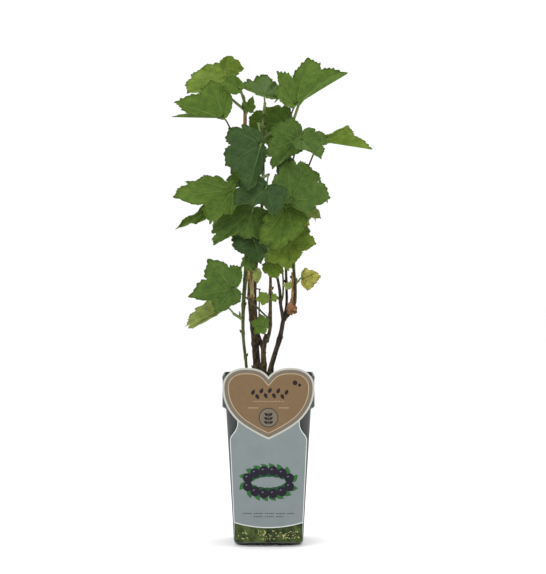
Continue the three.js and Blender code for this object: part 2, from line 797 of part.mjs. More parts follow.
// A round tapering tube along a smooth line, grown all round by extra
function tube(points, radii, sides, extra = 0) {
  const curve = limbCurve(points);
  const spans = points.length - 1;
  const stations = stationsOf(points, LIMB_STEP);
  const tangents = stations.map((share) => curve.getTangent(share));
  const normal = UP.clone().cross(tangents[0]);
  if (normal.length() < 0.1) normal.set(1, 0, 0);
  const rings = stations.map((share, i) => {
    const span = Math.min(spans - 1, Math.floor(share * spans));
    const radius = mix(radii[span], radii[span + 1], share * spans - span) + extra;
    const centre = curve.getPoint(share);
    if (i === 0) centre.addScaledVector(tangents[i], -extra);
    if (i === stations.length - 1) centre.addScaledVector(tangents[i], extra);
    normal.addScaledVector(tangents[i], -normal.dot(tangents[i])).normalize();
    const binormal = tangents[i].clone().cross(normal);
    return Array.from({ length: sides }, (_, side) => {
      const angle = (side / sides) * 2 * Math.PI;
      return centre.clone()
        .addScaledVector(normal, radius * Math.cos(angle))
        .addScaledVector(binormal, radius * Math.sin(angle));
    });
  });
  return toSolid(loft(rings));
}

function limbSolid(limb, extra = 0) {
  const points = limb.line.map(([x, z, y]) => seen([x, z, y]));
  const radii = limb.line.map((place) => place[3]);
  return tube(points, radii, LIMB_SIDES, extra);
}

// The point of a limb's middle line at a height
function limbPointAt(limb, height) {
  const curve = limbCurve(limb.line.map(([x, z, y]) => seen([x, z, y])));
  const tries = 400;
  let best = curve.getPoint(0);
  for (let i = 0; i <= tries; i += 1) {
    const point = curve.getPoint(i / tries);
    if (Math.abs(point.z - height) < Math.abs(best.z - height)) best = point;
  }
  return best;
}

// Leaves

const LOBES = 5;
const MIDDLE_LOBE = 2;

// One side of a cleft, from a lobe's tip to the cleft's floor, as [share of the gap, reach]
function lobeEdge(share, cleft, side) {
  const half = THREE.MathUtils.degToRad(LOBE_TURN / 2);
  const floorX = cleft * Math.cos(half);
  const floorY = cleft * Math.sin(half);
  const lengthX = floorX - 1;
  const length = Math.hypot(lengthX, floorY);
  const bulge = side * Math.sin(Math.PI * share);
  const x = 1 + lengthX * share + (bulge * floorY) / length;
  const y = floorY * share - (bulge * lengthX) / length;
  return [(0.5 * Math.atan2(y, x)) / half, Math.hypot(x, y)];
}

// The outline as { gap, share, reach, spoke }: gaps -1 and 4 are the ears beside the stalk, and
// each spoke is the place of the inner ring that the outline's point hangs on
function leafOutline({ clefts, ears, bulge }) {
  const outline = [];
  let spoke = 0;
  const add = (gap, share, reach, hangsOn) => outline.push({ gap, share, reach, spoke: hangsOn });
  add(-1, 0.5, ears[0], spoke);
  for (let gap = 0; gap < LOBES - 1; gap += 1) {
    const [share, reach] = lobeEdge(0.5, clefts[gap], bulge);
    add(gap, 0, 1, spoke + 1);
    if (gap > 0) add(gap, share, reach, spoke + 1);
    add(gap, 0.5, clefts[gap], spoke + 2);
    if (gap < LOBES - 2) add(gap, 1 - share, reach, spoke + 3);
    spoke += 2;
  }
  add(LOBES - 1, 0, 1, spoke + 1);
  add(LOBES - 1, 0.5, ears[1], spoke + 2);
  add(LOBES - 1, 1, STALK_NOTCH, spoke + 3);
  return outline;
}

// A leaf as it lies in space: its stalk point, its lobes, and the side on which it is raised
function leafFrame(leaf) {
  if (leaf.lobes) return leaf;
  const base = seen(leaf.base);
  let lobes;
  if (leaf.tips) {
    lobes = leaf.tips.map((tip) => seen(tip).sub(base));
  } else {
    const middle = seen(leaf.tip).sub(base);
    lobes = LOBE_REACH.map((reach, i) => {
      const turn = THREE.MathUtils.degToRad(LOBE_TURN) * (MIDDLE_LOBE - i);
      return middle.clone().applyAxisAngle(TO_EYE, turn).multiplyScalar(reach * (leaf.width ?? 1));
    });
    lobes[MIDDLE_LOBE] = middle;
  }
  const { clefts = CLEFTS, ears = EARS, bulge = EDGE_BULGE } = leaf;
  return { base, lobes, raised: TO_EYE, clefts, ears, bulge };
}

// The direction between two lobes at a share of the turn from one to the other, with its length
function between(a, b, share) {
  const lengthA = a.length();
  const lengthB = b.length();
  const turn = Math.max(a.angleTo(b), 1e-4);
  const from = a.clone().multiplyScalar(Math.sin((1 - share) * turn) / lengthA / Math.sin(turn));
  const to = b.clone().multiplyScalar(Math.sin(share * turn) / lengthB / Math.sin(turn));
  return from.add(to).normalize().multiplyScalar(lengthA + (lengthB - lengthA) * share);
}

// A point of the leaf's middle surface, which stands a little proud between its lobes
function leafPoint(frame, { gap, share, reach }) {
  const back = frame.lobes[MIDDLE_LOBE].clone().multiplyScalar(-0.3);
  let lobe;
  if (gap < 0) lobe = between(back, frame.lobes[0], share);
  else if (gap >= LOBES - 1) lobe = between(frame.lobes[LOBES - 1], back, share);
  else lobe = between(frame.lobes[gap], frame.lobes[gap + 1], share);
  const out = lobe.multiplyScalar(reach);
  const proud = gap < 0 || gap >= LOBES - 1 ? 0 : CREASE * out.length() * Math.sin(Math.PI * share);
  return frame.base.clone().add(out).addScaledVector(frame.raised, proud);
}

function leafSolid(frame) {
  const outline = leafOutline(frame);
  const rim = outline.map((place) => leafPoint(frame, place));
  const spokes = outline.filter((place) => place.share === 0 || place.share === 0.5 || place.share === 1);
  const ring = spokes.map((place) => leafPoint(frame, { ...place, reach: place.reach * RING }));
  const middle = [frame.base, ...ring, ...rim];
  const faces = [];
  for (let i = 0; i < ring.length; i += 1) faces.push([0, 1 + i, 1 + ((i + 1) % ring.length)]);
  const rimStart = 1 + ring.length;
  for (let i = 0; i < rim.length; i += 1) {
    const next = (i + 1) % rim.length;
    const here = 1 + outline[i].spoke;
    const there = 1 + outline[next].spoke;
    faces.push([here, rimStart + i, rimStart + next]);
    if (here !== there) faces.push([here, rimStart + next, there]);
  }
  const normals = middle.map(() => new THREE.Vector3());
  for (const [a, b, c] of faces) {
    const normal = middle[b].clone().sub(middle[a]).cross(middle[c].clone().sub(middle[a]));
    for (const corner of [a, b, c]) normals[corner].add(normal);
  }
  const total = middle.length;
  const vertices = [];
  for (const way of [0.5, -0.5]) {
    middle.forEach((point, i) => {
      vertices.push(point.clone().addScaledVector(normals[i].clone().normalize(), way * LEAF_THICKNESS));
    });
  }
  const triangles = [...faces, ...faces.map(([a, b, c]) => [a + total, c + total, b + total])];
  for (let i = 0; i < rim.length; i += 1) {
    const a = rimStart + i;
    const b = rimStart + ((i + 1) % rim.length);
    triangles.push([a, a + total, b + total]);
    triangles.push([a, b + total, b]);
  }
  return toSolid(closedGeometry(vertices, triangles));
}

// A leaf's stalk, from the hub to its stalk point, sunk on along the middle lobe
function stalkLine(hub, frame) {
  const arch = hub.clone().lerp(frame.base, 0.55).addScaledVector(UP, STALK_ARCH);
  const end = frame.base.clone().addScaledVector(frame.lobes[MIDDLE_LOBE].clone().normalize(), STALK_SINK);
  return [hub, arch, frame.base, end];
}

function stalkSolid(hub, frame) {
  const radii = [1.2, 1, 1, 0.8].map((share) => share * STALK_RADIUS);
  return tube(stalkLine(hub, frame), radii, STALK_SIDES);
}

// The seeded rule for the leaves that the front view hides

// A small repeatable random number generator, from 0 up to 1
function random(seed) {
  let state = seed >>> 0;
  return () => {
    state = (state + 0x6d2b79f5) >>> 0;
    let mixed = Math.imul(state ^ (state >>> 15), 1 | state);
    mixed = (mixed + Math.imul(mixed ^ (mixed >>> 7), 61 | mixed)) ^ mixed;
    return ((mixed ^ (mixed >>> 14)) >>> 0) / 4294967296;
  };
}

// A leaf of a size that heads out level at an angle, dips by pitch and leans by roll
function grownFrame(base, size, heading, pitch, roll) {
  const [h, p, r] = [heading, pitch, roll].map(THREE.MathUtils.degToRad);
  const along = new THREE.Vector3(Math.cos(h) * Math.cos(p), Math.sin(h) * Math.cos(p), -Math.sin(p));
  const level = new THREE.Vector3(-Math.sin(h), Math.cos(h), 0);
  const over = along.clone().cross(level);
  const side = level.clone().multiplyScalar(Math.cos(r)).addScaledVector(over, Math.sin(r));
  const raised = along.clone().cross(side);
  const lobes = LOBE_REACH.map((reach, i) => {
    const turn = THREE.MathUtils.degToRad(LOBE_TURN) * (MIDDLE_LOBE - i);
    const droop = -LOBE_DROOP * size * reach * reach;
    return along.clone().multiplyScalar(Math.cos(turn)).addScaledVector(side, Math.sin(turn))
      .multiplyScalar(size * reach).addScaledVector(raised, droop);
  });
  return { base, lobes, raised, clefts: CLEFTS, ears: EARS, bulge: EDGE_BULGE };
}

// Places spread over a leaf, by which it is kept clear of limbs and of other leaves
function leafSamples(frame) {
  const samples = [frame.base];
  for (const place of leafOutline(frame)) {
    for (const share of [0.25, 0.5, 0.75, 1]) {
      samples.push(leafPoint(frame, { ...place, reach: place.reach * share }));
    }
  }
  return samples;
}

function lineSamples(points, step) {
  const curve = limbCurve(points);
  const count = Math.ceil(curve.getLength() / step);
  return Array.from({ length: count + 1 }, (_, i) => curve.getPoint(i / count));
}

function isInside(point, [low, high]) {
  return point.x > low[0] && point.x < high[0] && point.y > low[1] && point.y < high[1]
    && point.z > low[2] && point.z < high[2];
}

function isInSky(point) {
  return SKY.some(([left, right, low, high]) =>
    point.x > left && point.x < right && point.z > low && point.z < high);
}

function isNear(points, others, gap) {
  return points.some((point) => others.some((other) => point.distanceToSquared(other) < gap * gap));
}

// Grows one mass: leaves that would leave its space, fill a gap of sky or touch anything are skipped
function grow(mass, taken) {
  const next = random(mass.seed);
  const hub = new THREE.Vector3(...mass.hub);
  const frames = [];
  for (let attempt = 0; attempt < GROW_ATTEMPTS && frames.length < mass.count; attempt += 1) {
    const heading = mix(mass.headings[0], mass.headings[1], next());
    const pitch = mix(15, 70, next());
    const roll = mix(-30, 30, next());
    const size = mix(mass.sizes[0], mass.sizes[1], next());
    const stalk = mix(16, 34, next());
    const rise = mix(-0.6, 0.9, next());
    const turn = THREE.MathUtils.degToRad(heading);
    const base = hub.clone().add(new THREE.Vector3(
      stalk * Math.cos(turn) * Math.cos(rise),
      stalk * Math.sin(turn) * Math.cos(rise),
      stalk * Math.sin(rise),
    ));
    const frame = grownFrame(base, size, heading, pitch, roll);
    const leaf = leafSamples(frame);
    const stalkPoints = lineSamples(stalkLine(hub, frame), 3);
    if (!leaf.every((point) => isInside(point, mass.space) && !isInSky(point))) continue;
    if (isNear(leaf, taken.limbs, LIMB_GAP) || isNear(leaf, taken.leaves, LEAF_GAP)) continue;
    if (isNear(leaf, taken.stalks, STALK_GAP) || isNear(stalkPoints, taken.leaves, STALK_GAP)) continue;
    taken.leaves.push(...leaf);
    taken.stalks.push(...stalkPoints.slice(4));
    frames.push(frame);
  }
  return frames;
}

// Masses

function stemLine(mass) {
  const root = limbPointAt(LIMBS[mass.limb], mass.height);
  const hub = mass.space ? new THREE.Vector3(...mass.hub) : seen(mass.hub);
  const beyond = hub.clone().addScaledVector(hub.clone().sub(root).normalize(), STALK_RADIUS);
  return [root, beyond];
}

function massSolid(mass, frames) {
  const [root, beyond] = stemLine(mass);
  const hub = beyond.clone().addScaledVector(beyond.clone().sub(root).normalize(), -STALK_RADIUS);
  const radius = mass.stem ?? STEM_RADIUS;
  let solid = tube([root, beyond], [radius, radius * 0.9], STALK_SIDES + 1);
  for (const frame of frames) solid = solid.add(stalkSolid(hub, frame)).add(leafSolid(frame));
  return largestBody(solid.subtract(limbSolid(LIMBS[mass.limb], CLEARANCE)));
}

// Places taken by the limbs and by the leaves that the front view shows
function takenPlaces() {
  const taken = { limbs: [], leaves: [], stalks: [] };
  for (const limb of Object.values(LIMBS)) {
    taken.limbs.push(...lineSamples(limb.line.map(([x, z, y]) => seen([x, z, y])), 6));
  }
  for (const mass of Object.values(MASSES)) {
    const hub = seen(mass.hub);
    taken.stalks.push(...lineSamples(stemLine(mass), 3));
    for (const name of mass.leaves) {
      const frame = leafFrame(LEAVES[name]);
      taken.leaves.push(...leafSamples(frame));
      taken.stalks.push(...lineSamples(stalkLine(hub, frame), 3));
    }
  }
  return taken;
}

// The whole plant in its pot

const plant = new THREE.Group();
plant.add(pot(), compost(), labelCard());

const limbsSoFar = [];
for (const [name, limb] of Object.entries(LIMBS)) {
  let solid = limbSolid(limb);
  if (limb.from) {
    for (const earlier of limbsSoFar) solid = solid.subtract(limbSolid(earlier, CLEARANCE));
    solid = largestBody(solid);
  } else {
    solid = solid.trimByPlane([0, 0, 1], COMPOST_TOP + CLEARANCE);
  }
  limbsSoFar.push(limb);
  plant.add(toMesh(name, solid, COLOURS[limb.wood], 0.9));
}

for (const [name, mass] of Object.entries(MASSES)) {
  const frames = mass.leaves.map((leaf) => leafFrame(LEAVES[leaf]));
  plant.add(toMesh(name, massSolid(mass, frames), COLOURS.leaf, 0.7));
}

const taken = takenPlaces();
for (const [name, mass] of Object.entries(BACK_MASSES)) {
  plant.add(toMesh(name, massSolid(mass, grow(mass, taken)), COLOURS.leaf, 0.7));
}

export default plant;
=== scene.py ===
# A blackcurrant bush in a square nursery pot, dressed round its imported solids.
# Plant, pot and card are worked out in millimetres and turned into metres as meshes are made.

import itertools
import math

import bpy
import numpy as np
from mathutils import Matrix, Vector
from mathutils.geometry import tessellate_polygon


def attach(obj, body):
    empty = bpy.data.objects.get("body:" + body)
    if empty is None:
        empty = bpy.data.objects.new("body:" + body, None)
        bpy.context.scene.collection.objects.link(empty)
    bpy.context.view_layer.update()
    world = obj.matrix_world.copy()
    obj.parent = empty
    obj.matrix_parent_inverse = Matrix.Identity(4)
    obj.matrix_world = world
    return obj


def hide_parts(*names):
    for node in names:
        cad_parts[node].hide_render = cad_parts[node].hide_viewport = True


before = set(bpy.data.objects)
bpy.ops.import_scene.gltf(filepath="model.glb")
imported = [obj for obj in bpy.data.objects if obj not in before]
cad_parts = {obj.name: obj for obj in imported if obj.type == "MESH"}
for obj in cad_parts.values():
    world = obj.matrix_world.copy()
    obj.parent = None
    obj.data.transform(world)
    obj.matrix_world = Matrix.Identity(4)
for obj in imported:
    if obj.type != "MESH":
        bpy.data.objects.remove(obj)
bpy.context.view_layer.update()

MM = 0.001
BODY = "root"

# The eye from which the photograph was taken, and the photograph's frame
EYE_DISTANCE = 2000
EYE_HEIGHT = 285
PHOTO_WIDTH = 546
PHOTO_HEIGHT = 574
MM_PER_PIXEL = 1.1043
PLANT_COLUMN = 268.5
GROUND_ROW = 540.5

# Pot and compost
POT_HEIGHT = 184
POT_FOOT_HALF = 37.5
POT_WALL_TOP_HALF = 46
COLLAR_HALF = 50
COLLAR_FOOT = 148
COLLAR_LEDGE = 2.5
POT_WALL = 1.8
POT_CORNER = 9
CORNER_STEPS = 9
LIP = 0.7
FOOT_HEIGHT = 3
FOOT_ROUND_HEIGHT = 5
FOOT_ROUND_BACK = 4.6
FOOT_STEPS = 9
UNDER_HALF = 30.4
FLOOR_TOP = 5.4
FOOT_NOTCH_HALF = 11
CENTRE_PAD_RADIUS = 9
DRAIN_RADIUS = 4
DRAIN_OFFSET = 22
DRUM_SIDES = 28
SHARP_ANGLE = math.radians(32)
CLEARANCE = 0.3
COMPOST_TOP = 170
COMPOST_SEED = 71
COMPOST_RINGS = 34
COMPOST_SINK = 0.6
# Bumps of the compost as height, width and a shift of the noise
BUMPS = [[1.5, 9, 0], [0.9, 3.5, 7], [0.5, 1.6, 13]]
CRUMB_SEED = 5
CRUMBS = 900
CRUMB_SIZE = 2.2
BARK_CRUMBS = 0.18
FIBRES = 90
FIBRE_RADIUS = 0.25
FIBRE_LENGTHS = (3, 9)
FIBRE_LIFT = 0.2

# Card
CARD_THICKNESS = 1
CARD_FRONT = -(COLLAR_HALF + CLEARANCE + CARD_THICKNESS)
LAYER = 0.06
CARD_TOP = 193
HEART_HALF_WIDTH = 49.5
HEART_NOTCH = 183.5
HEART_WIDEST = 172
HEART_TIP = 116
CARD_WAIST = 136
CARD_WAIST_HALF = 33.5
SHOULDER_HEIGHT = 115
SHOULDER_HALF = 41.5
CARD_FOOT = 4.8
CARD_CORNER = 4
CARD_FOOT_HALF = 36.5
FOOT_ARC_SIDE = 27.1
FOOT_ARC_MIDDLE = 21.6
TONGUE_HALF = 6
TONGUE_OFFSET = 22
TONGUE_DEPTH = 10
BEZIER_STEPS = 14
CREAM_SEED = 12
CREAM_DOTS = 80
CREAM_CLUSTERS = [-26, -6, 2, 18, 30]
GREY_ROWS = [[36.4, 27], [33, 15]]
ROUNDEL_HEIGHT = 139.5
WREATH_HEIGHT = 70
WREATH_ACROSS = 24
WREATH_UP = 12.5
WREATH_LEAVES = 16
WREATH_BERRIES = 12
BERRY_RADIUS = 5.2

# Leaf pattern and the seeded rule, as in the part's source
LOBES = 5
MIDDLE_LOBE = 2
LOBE_TURN = 52
LOBE_TURNS = [LOBE_TURN * (MIDDLE_LOBE - i) for i in range(LOBES)]
LOBE_REACH = [0.55, 0.88, 1, 0.88, 0.55]
EAR_ANGLE = (180 + LOBE_TURNS[0]) / 2
USUAL_SHAPE = {"clefts": [0.66, 0.6, 0.6, 0.66], "ears": [0.45, 0.45], "bulge": 0.09}
STALK_NOTCH = 0.08
CREASE = 0.05
BACK_SHARE = 0.3
STEM_RADIUS = 1.6
STALK_RADIUS = 1.1
STALK_SINK = 4
STALK_ARCH = 2
LIMB_GAP = 6
LEAF_GAP = 7
STALK_GAP = 4
LIMB_SAMPLE = 6
STALK_SAMPLE = 3
LOBE_DROOP = 0.22
GROW_ATTEMPTS = 900
PITCHES = [15, 70]
ROLLS = [-30, 30]
STALK_LENGTHS = [16, 34]
RISES = [-0.6, 0.9]
WORD = 0xFFFFFFFF

# Fine leaves
TEETH = 5
SMALL_TEETH = 4
TOOTH_WIDTHS = (0.7, 1.3)
TOOTH_HEIGHTS = (0.45, 1.3)
TOOTH_TIP = 0.3
TOOTH_BACK = 0.66
TOOTH_BACK_HEIGHT = 0.45
TOOTH_FADE = 5
LONG_EDGE = 0.4
TOOTH_HEIGHT = 0.038
TIP_BULGE = -0.15
BASAL_BULGE = 0.06
EAR_BULGE = 0.28
EAR_STEPS = 8
SMALL_LEAF = 24
RINGS = [0.06, 0.14, 0.23, 0.32, 0.41, 0.5, 0.59, 0.68, 0.77, 0.86, 0.94, 1]
SMALL_RINGS = [0.12, 0.32, 0.55, 0.78, 0.93, 1]
LEAF_THICKNESS = 0.5
QUILT = 0.032
QUILT_WIDTH = 0.07
RUFFLE = 0.022
WAVES = 7
FINE_WAVES = 12
FINE_WAVE_HEIGHT = 0.6
CRUMPLE = {"dead": 0.3, "pale": 0.14, "olive": 0.05}
CRUMPLE_CELL = 0.22
# The outer band of a leaf takes paler rim tones, a painted highlight along its edge
RIM_START = 0.8
RIM_BLOTCH = 0.16
BLOTCH_CELL = 7
MAIN_VEIN = np.linspace(0.02, 0.97, 8)
MAIN_VEIN_WIDTHS = 1.05 * (1 - MAIN_VEIN) ** 0.7 + 0.22
SIDE_VEINS = [0.16, 0.3, 0.44, 0.58, 0.72]
SIDE_VEIN_TURN = 42
SIDE_VEIN_WIDTHS = 0.5 * np.linspace(1, 0.35, 4)
VEIN_STAGGER = 0.025
VEIN_JITTER = 0.015
VEIN_STEP = 0.03
VEIN_BEND = 0.02
VEIN_STEPS = 24
VEIN_END = 0.93
BASAL_SPREAD = 0.8
VEIN_LIFT = 0.3
VEIN_SINK = 0.12
FULL_LEAF = 45
STALK_STEP = 2.5
STALK_SIDES = 9
STALK_TAPER = [[0, 0.12, 0.8, 0.9, 1], [1.15, 0.85, 0.7, 0.5, 0.12]]
STEM_FLARE = 0.3
STEM_GRIT = 0.05
STEM_BUD_AT = 2.2
DARK_STEM_SHARE = 0.62

# Bark
BARK_STEP = 1.4
BARK_SIDES = 22
YOUNG_ROUGHNESS = 0.35
NODE_SPACING = 31
NODE_WIDTH = 3.2
NODE_SWELL = 0.2
BUD_LENGTH = 4.6
BUD_RADIUS = 1.3
BUD_SWELL = np.array([0.5, 0.9, 1, 0.95, 0.7, 0.4, 0.08])
BUD_SINK = 0.7
BUD_FREE_HEIGHT = 182
FLARE = 0.25
FLARE_LENGTH = 5
RIDGE_HEIGHT = 0.22
GRIT_HEIGHT = 0.05
LEAN_HEIGHT = 0.06
STREAK_SHARE = 0.75
FLECK_SHARE = 0.25
WOBBLE_SHARE = 0.03
# Patterns of noise on bark: their stretch round and along a limb, and a shift
RIDGES = (2.6, 17, 5)
GRIT = (5, 2.4, 11)
LEAN = (0.8, 38, 17)
STREAKS = (1.7, 13, 3)
FLECKS = (4, 4, 9)
WOBBLE = (2.21, 10, 21)

# Lamps: name, place, power, size
LAMPS = [
    ("key", (-0.9, -1.5, 1.5), 16, 1.4),
    ("fill", (1.3, -1.3, 0.7), 4, 1.4),
    ("top", (0.2, 0.5, 1.8), 10, 1.2),
]
LAMP_AIM = (0, 0, 0.28)
SKY_STRENGTH = 1.03
FLOOR_HALF = 20
FLOOR_PAINT = (0.98, 0.98, 0.98, 1)
SENSOR_HEIGHT = 24

# Each limb lists its middle line as [x, z, y, radius] from its foot up
LIMBS = {
    "cane_left": [[-22, 165, -4, 1.7], [-25, 198, -6, 1.6], [-28, 228, -9, 1.8], [-27.6, 262, -11, 2.2],
        [-25.4, 294, -10, 2.3], [-25, 332, -6, 1.7], [-31, 372, -2, 1.2]],
    "cane_old": [[-11, 165, 4, 4.1], [-13, 196, 5, 3.9], [-16, 232, 7, 3.8], [-19.5, 266, 8, 3.7],
        [-20, 298, 10, 3.1], [-22, 335, 12, 2.7], [-24, 378, 14, 2.4], [-26, 446, 13, 2.1],
        [-25.5, 484, 9, 1.7]],
    "cane_middle": [[-4, 165, -4, 3.3], [-5, 190, -4, 3], [-5.5, 211, -4, 2.8], [-2, 228, -5, 2.4]],
    "cane_right": [[4, 165, -11, 3], [2, 186, -12, 2.9], [6.5, 204, -12, 2.7], [12.5, 224, -11, 2.5],
        [16.5, 243, -10, 2.3], [18, 248, -10, 2.2]],
    "bough_middle_left": [[-5, 207, -3, 2.2], [-8, 217, 5, 2.1], [-12.5, 233, 15, 2], [-15, 262, 18, 2],
        [-14, 298, 18, 1.9], [-9, 345, 16, 1.8], [-6, 400, 15, 1.7], [-6, 440, 9, 1.5], [-5, 474, 3, 1.2]],
    "bough_middle_right": [[-2.5, 219, -5, 1.9], [1, 230, -6, 1.9], [2, 242, -6, 1.8], [2, 268, -7, 1.7],
        [2, 292, -8, 1.6], [0, 318, -8, 1.3]],
    "bough_right_outer": [[17.5, 245, -10.5, 2.1], [23, 251, -12, 2], [28, 260, -12, 1.9],
        [29.5, 278, -9, 1.8], [28, 300, -2, 1.7], [27, 338, 4, 1.6], [26, 380, 6, 1.5], [24, 420, 6, 1.3],
        [21, 452, 4, 1.1]],
    "bough_right_inner": [[16.5, 244, -10, 1.9], [13.5, 260, -11, 1.7], [12.5, 276, -11, 1.6],
        [9.5, 292, -11, 1.3]],
    "bough_right_middle": [[17.5, 243, -8, 1.6], [20, 262, -4, 1.5], [19.5, 290, -5, 1.4],
        [19, 318, -8, 1.2]],
    "shoot_right_green": [[13.5, 262, -11, 1.1], [16, 272, -13, 1.1], [16.2, 286, -13, 1],
        [15.5, 299, -12, 0.9]],
    "shoot_right_red": [[28, 259, -12, 1.1], [26, 268, -15, 1.1], [26.8, 282, -15, 1.1],
        [26, 296, -12, 0.9]],
}

# Each leaf lists its stalk point, its five lobe tips as [x, z, y], and how deep its four clefts are
LEAVES = {
    "top_curl": [[-48, 521, 8], [-54, 527, 5], [-46, 535, 2], [-27, 521, -6], [-34, 514, 2], [-45, 514, 8],
        [0.9, 0.85, 0.8, 0.9]],
    "top_left": [[-46, 511, 4], [-51, 526, 12], [-74, 520.5, 12], [-90, 492.5, -12], [-69, 495, -20],
        [-51, 497, -14], [0.9, 0.92, 0.7, 0.8]],
    "left_high": [[-50, 467, -22], [-42, 500, -26], [-63, 509, -34], [-104.5, 484, -28], [-107, 467.5, -14],
        [-74, 473, 6], [0.85, 0.66, 0.62, 0.75]],
    "top_bridge": [[-31, 499, -30], [-27, 504, -34], [-31, 509, -36], [-40, 515, -38], [-48, 511, -40],
        [-49, 500, -42], [0.8, 0.85, 0.85, 0.8]],
    "top_middle": [[-5, 491, -18], [-28, 501, -24], [-17, 508, 6], [-1, 514.5, 26], [12, 503, 14],
        [14, 489, -10], [0.8, 0.85, 0.66, 0.7]],
    "top_right": [[30, 481, -22], [7, 497, -24], [9.5, 519, -8], [43.5, 533.5, 6], [87.5, 517, -14],
        [52, 502, -30], [0.7, 0.55, 0.74, 0.7]],
    "centre_behind": [[17, 457, 22], [24, 478, 26], [4, 479, 26], [-22, 467, 26], [-19, 442, 24],
        [8, 436, 18], [0.85, 0.85, 0.8, 0.8]],
    "right_inner": [[34, 443, -18], [27, 468, -14], [4, 457, -26], [-2, 431, -36], [4, 410, -38],
        [25, 425, -30], [0.7, 0.75, 0.86, 0.75]],
    "right_high": [[36, 443, -30], [45, 456.5, -24], [66, 445, -32], [58, 420.5, -52], [44, 431, -48],
        [31, 432, -42], [0.7, 0.7, 0.75, 0.85]],
    "right_far": [[57, 441, 4], [66, 448, 0], [87.5, 458.5, -4], [115, 432, 4], [90, 442.5, 14],
        [70, 438.5, 16], [0.75, 0.78, 0.86, 0.8]],
    "centre_front": [[-8, 438, -48], [-25, 459, -40], [-44, 456, -40], [-48, 413.5, -54], [-23, 386.5, -66],
        [-6, 412, -36], [0.75, 0.72, 0.66, 0.75]],
    "right_mid": [[25, 375.5, -40], [4, 397, -34], [20, 418, -24], [43, 416, -18], [68.5, 378.5, -40],
        [46, 361, -52], [0.8, 0.86, 0.72, 0.7]],
    "right_behind": [[24, 400, 0], [11, 398, -6], [9, 414, -10], [13, 432, -8], [20, 434, -4], [26, 416, 0],
        [0.85, 0.85, 0.85, 0.85]],
    "right_tail": [[35, 369, -14], [34, 380, -8], [48, 373, -10], [58, 355, -20], [44, 353, -24],
        [33, 352, -22], [0.8, 0.75, 0.66, 0.8]],
    "centre": [[-2, 390.5, -50], [-26, 404, -42], [-38, 370, -58], [-20, 372, -64], [7, 357, -70],
        [21, 388, -56], [0.8, 0.85, 0.5, 0.75]],
    "left_mid": [[-40, 387.5, -30], [-48, 398, -20], [-80, 398.5, -20], [-106, 379.5, -34],
        [-65, 349.5, -52], [-41, 361, -50], [0.88, 0.86, 0.48, 0.72]],
    "left_tail": [[-51, 374, -10], [-60, 375, -4], [-78, 363, -8], [-103, 343.5, -18], [-81, 350, -22],
        [-60, 357, -20], [0.8, 0.82, 0.8, 0.8]],
    "low_middle": [[-17, 365, -26], [-62, 344, -28], [-61, 326.5, -38], [-27, 333, -42], [-7, 333, -40],
        [8, 346, -30], [0.85, 0.5, 0.8, 0.75]],
    "low_right_front": [[20, 367, -32], [-1, 361, -36], [-10, 328, -54], [12, 319.5, -58], [31, 335, -54],
        [43, 357, -38], [0.75, 0.8, 0.8, 0.85]],
    "low_right": [[21, 328.5, -26], [43, 347.5, -22], [53, 327.5, -34], [30, 308, -44], [22, 298, -48],
        [-2, 309, -42], [0.74, 0.6, 0.8, 0.72]],
    "low_hanging": [[3, 306, -18], [-7, 305, -16], [-7, 299, -20], [9, 289.5, -28], [17, 297, -24],
        [12, 306, -18], [0.8, 0.75, 0.8, 0.8]],
    "low_grey": [[-16, 332.5, -30], [-40, 336, -28], [-37.5, 321.5, -34], [-8, 305.5, -42], [-1, 319, -38],
        [-6, 331, -32], [0.9, 0.56, 0.75, 0.8]],
    "low_dark": [[-21, 320, -20], [-27, 313, -18], [-31, 303, -24], [-24, 297, -28], [-15, 298.5, -26],
        [-14, 311, -20], [0.8, 0.8, 0.8, 0.8]],
    "low_left": [[-39, 277.5, -30], [-30, 302.5, -20], [-67, 311.5, -24], [-89, 269, -36],
        [-60, 251.5, -46], [-31, 264, -40], [0.55, 0.5, 0.42, 0.7]],
    "low_left_curl": [[-47, 257, -8], [-56, 266, -4], [-72, 261, -6], [-90, 240, -14], [-84, 234, -18],
        [-58, 250, -16], [0.9, 0.9, 0.95, 0.85]],
    "low_pale": [[-13, 299, -24], [-18, 294, -24], [-15, 286.5, -28], [-12, 284, -30], [-9, 289, -28],
        [-8, 297, -25], [0.8, 0.85, 0.85, 0.8]],
    "sprig_pale": [[37, 289, -6], [39.7, 301, -4], [53, 296.5, -8], [57.7, 290.5, -12], [52, 283, -14],
        [43.2, 276, -12], [0.72, 0.9, 0.8, 0.9]],
}
# Small leaves list their stalk point, their middle tip and how wide the other lobes fan out
SMALL_LEAVES = {
    "left_behind": [[-30, 397, 2], [-41, 413, -2], 1],
    "top_bud": [[-22, 475, 2], [-17, 491, -4], 0.6],
    "right_withered": [[38, 350, -14], [46, 357, -20], 0.8],
    "sprig_low_leaf": [[-4, 237, -10], [-20, 241.5, -14], 1],
    "sprig_middle_leaf": [[-2.5, 268, -12], [-14.5, 266, -14], 0.9],
    "sprig_middle_bud": [[4.5, 268, -11], [12, 268, -13], 0.9],
    "sprig_dead": [[26, 252, -15], [24.5, 267, -18], 0.6],
    "sprig_tiny": [[24, 281, -16], [15, 282.5, -18], 0.7],
}
OWN_SHAPE = {
    "left_high": {"ears": [0.25, 0.3], "bulge": 0.06},
    "top_right": {"ears": [0.45, 0.2], "bulge": 0.05},
    "right_far": {"ears": [0.3, 0.3], "bulge": 0.03},
    "centre_front": {"ears": [0.45, 0.2]},
    "right_mid": {"ears": [0.45, 0.35]},
    "left_mid": {"ears": [0.35, 0.35], "bulge": 0.1},
    "low_left": {"bulge": 0.11},
    "sprig_pale": {"ears": [0.2, 0.2]},
}
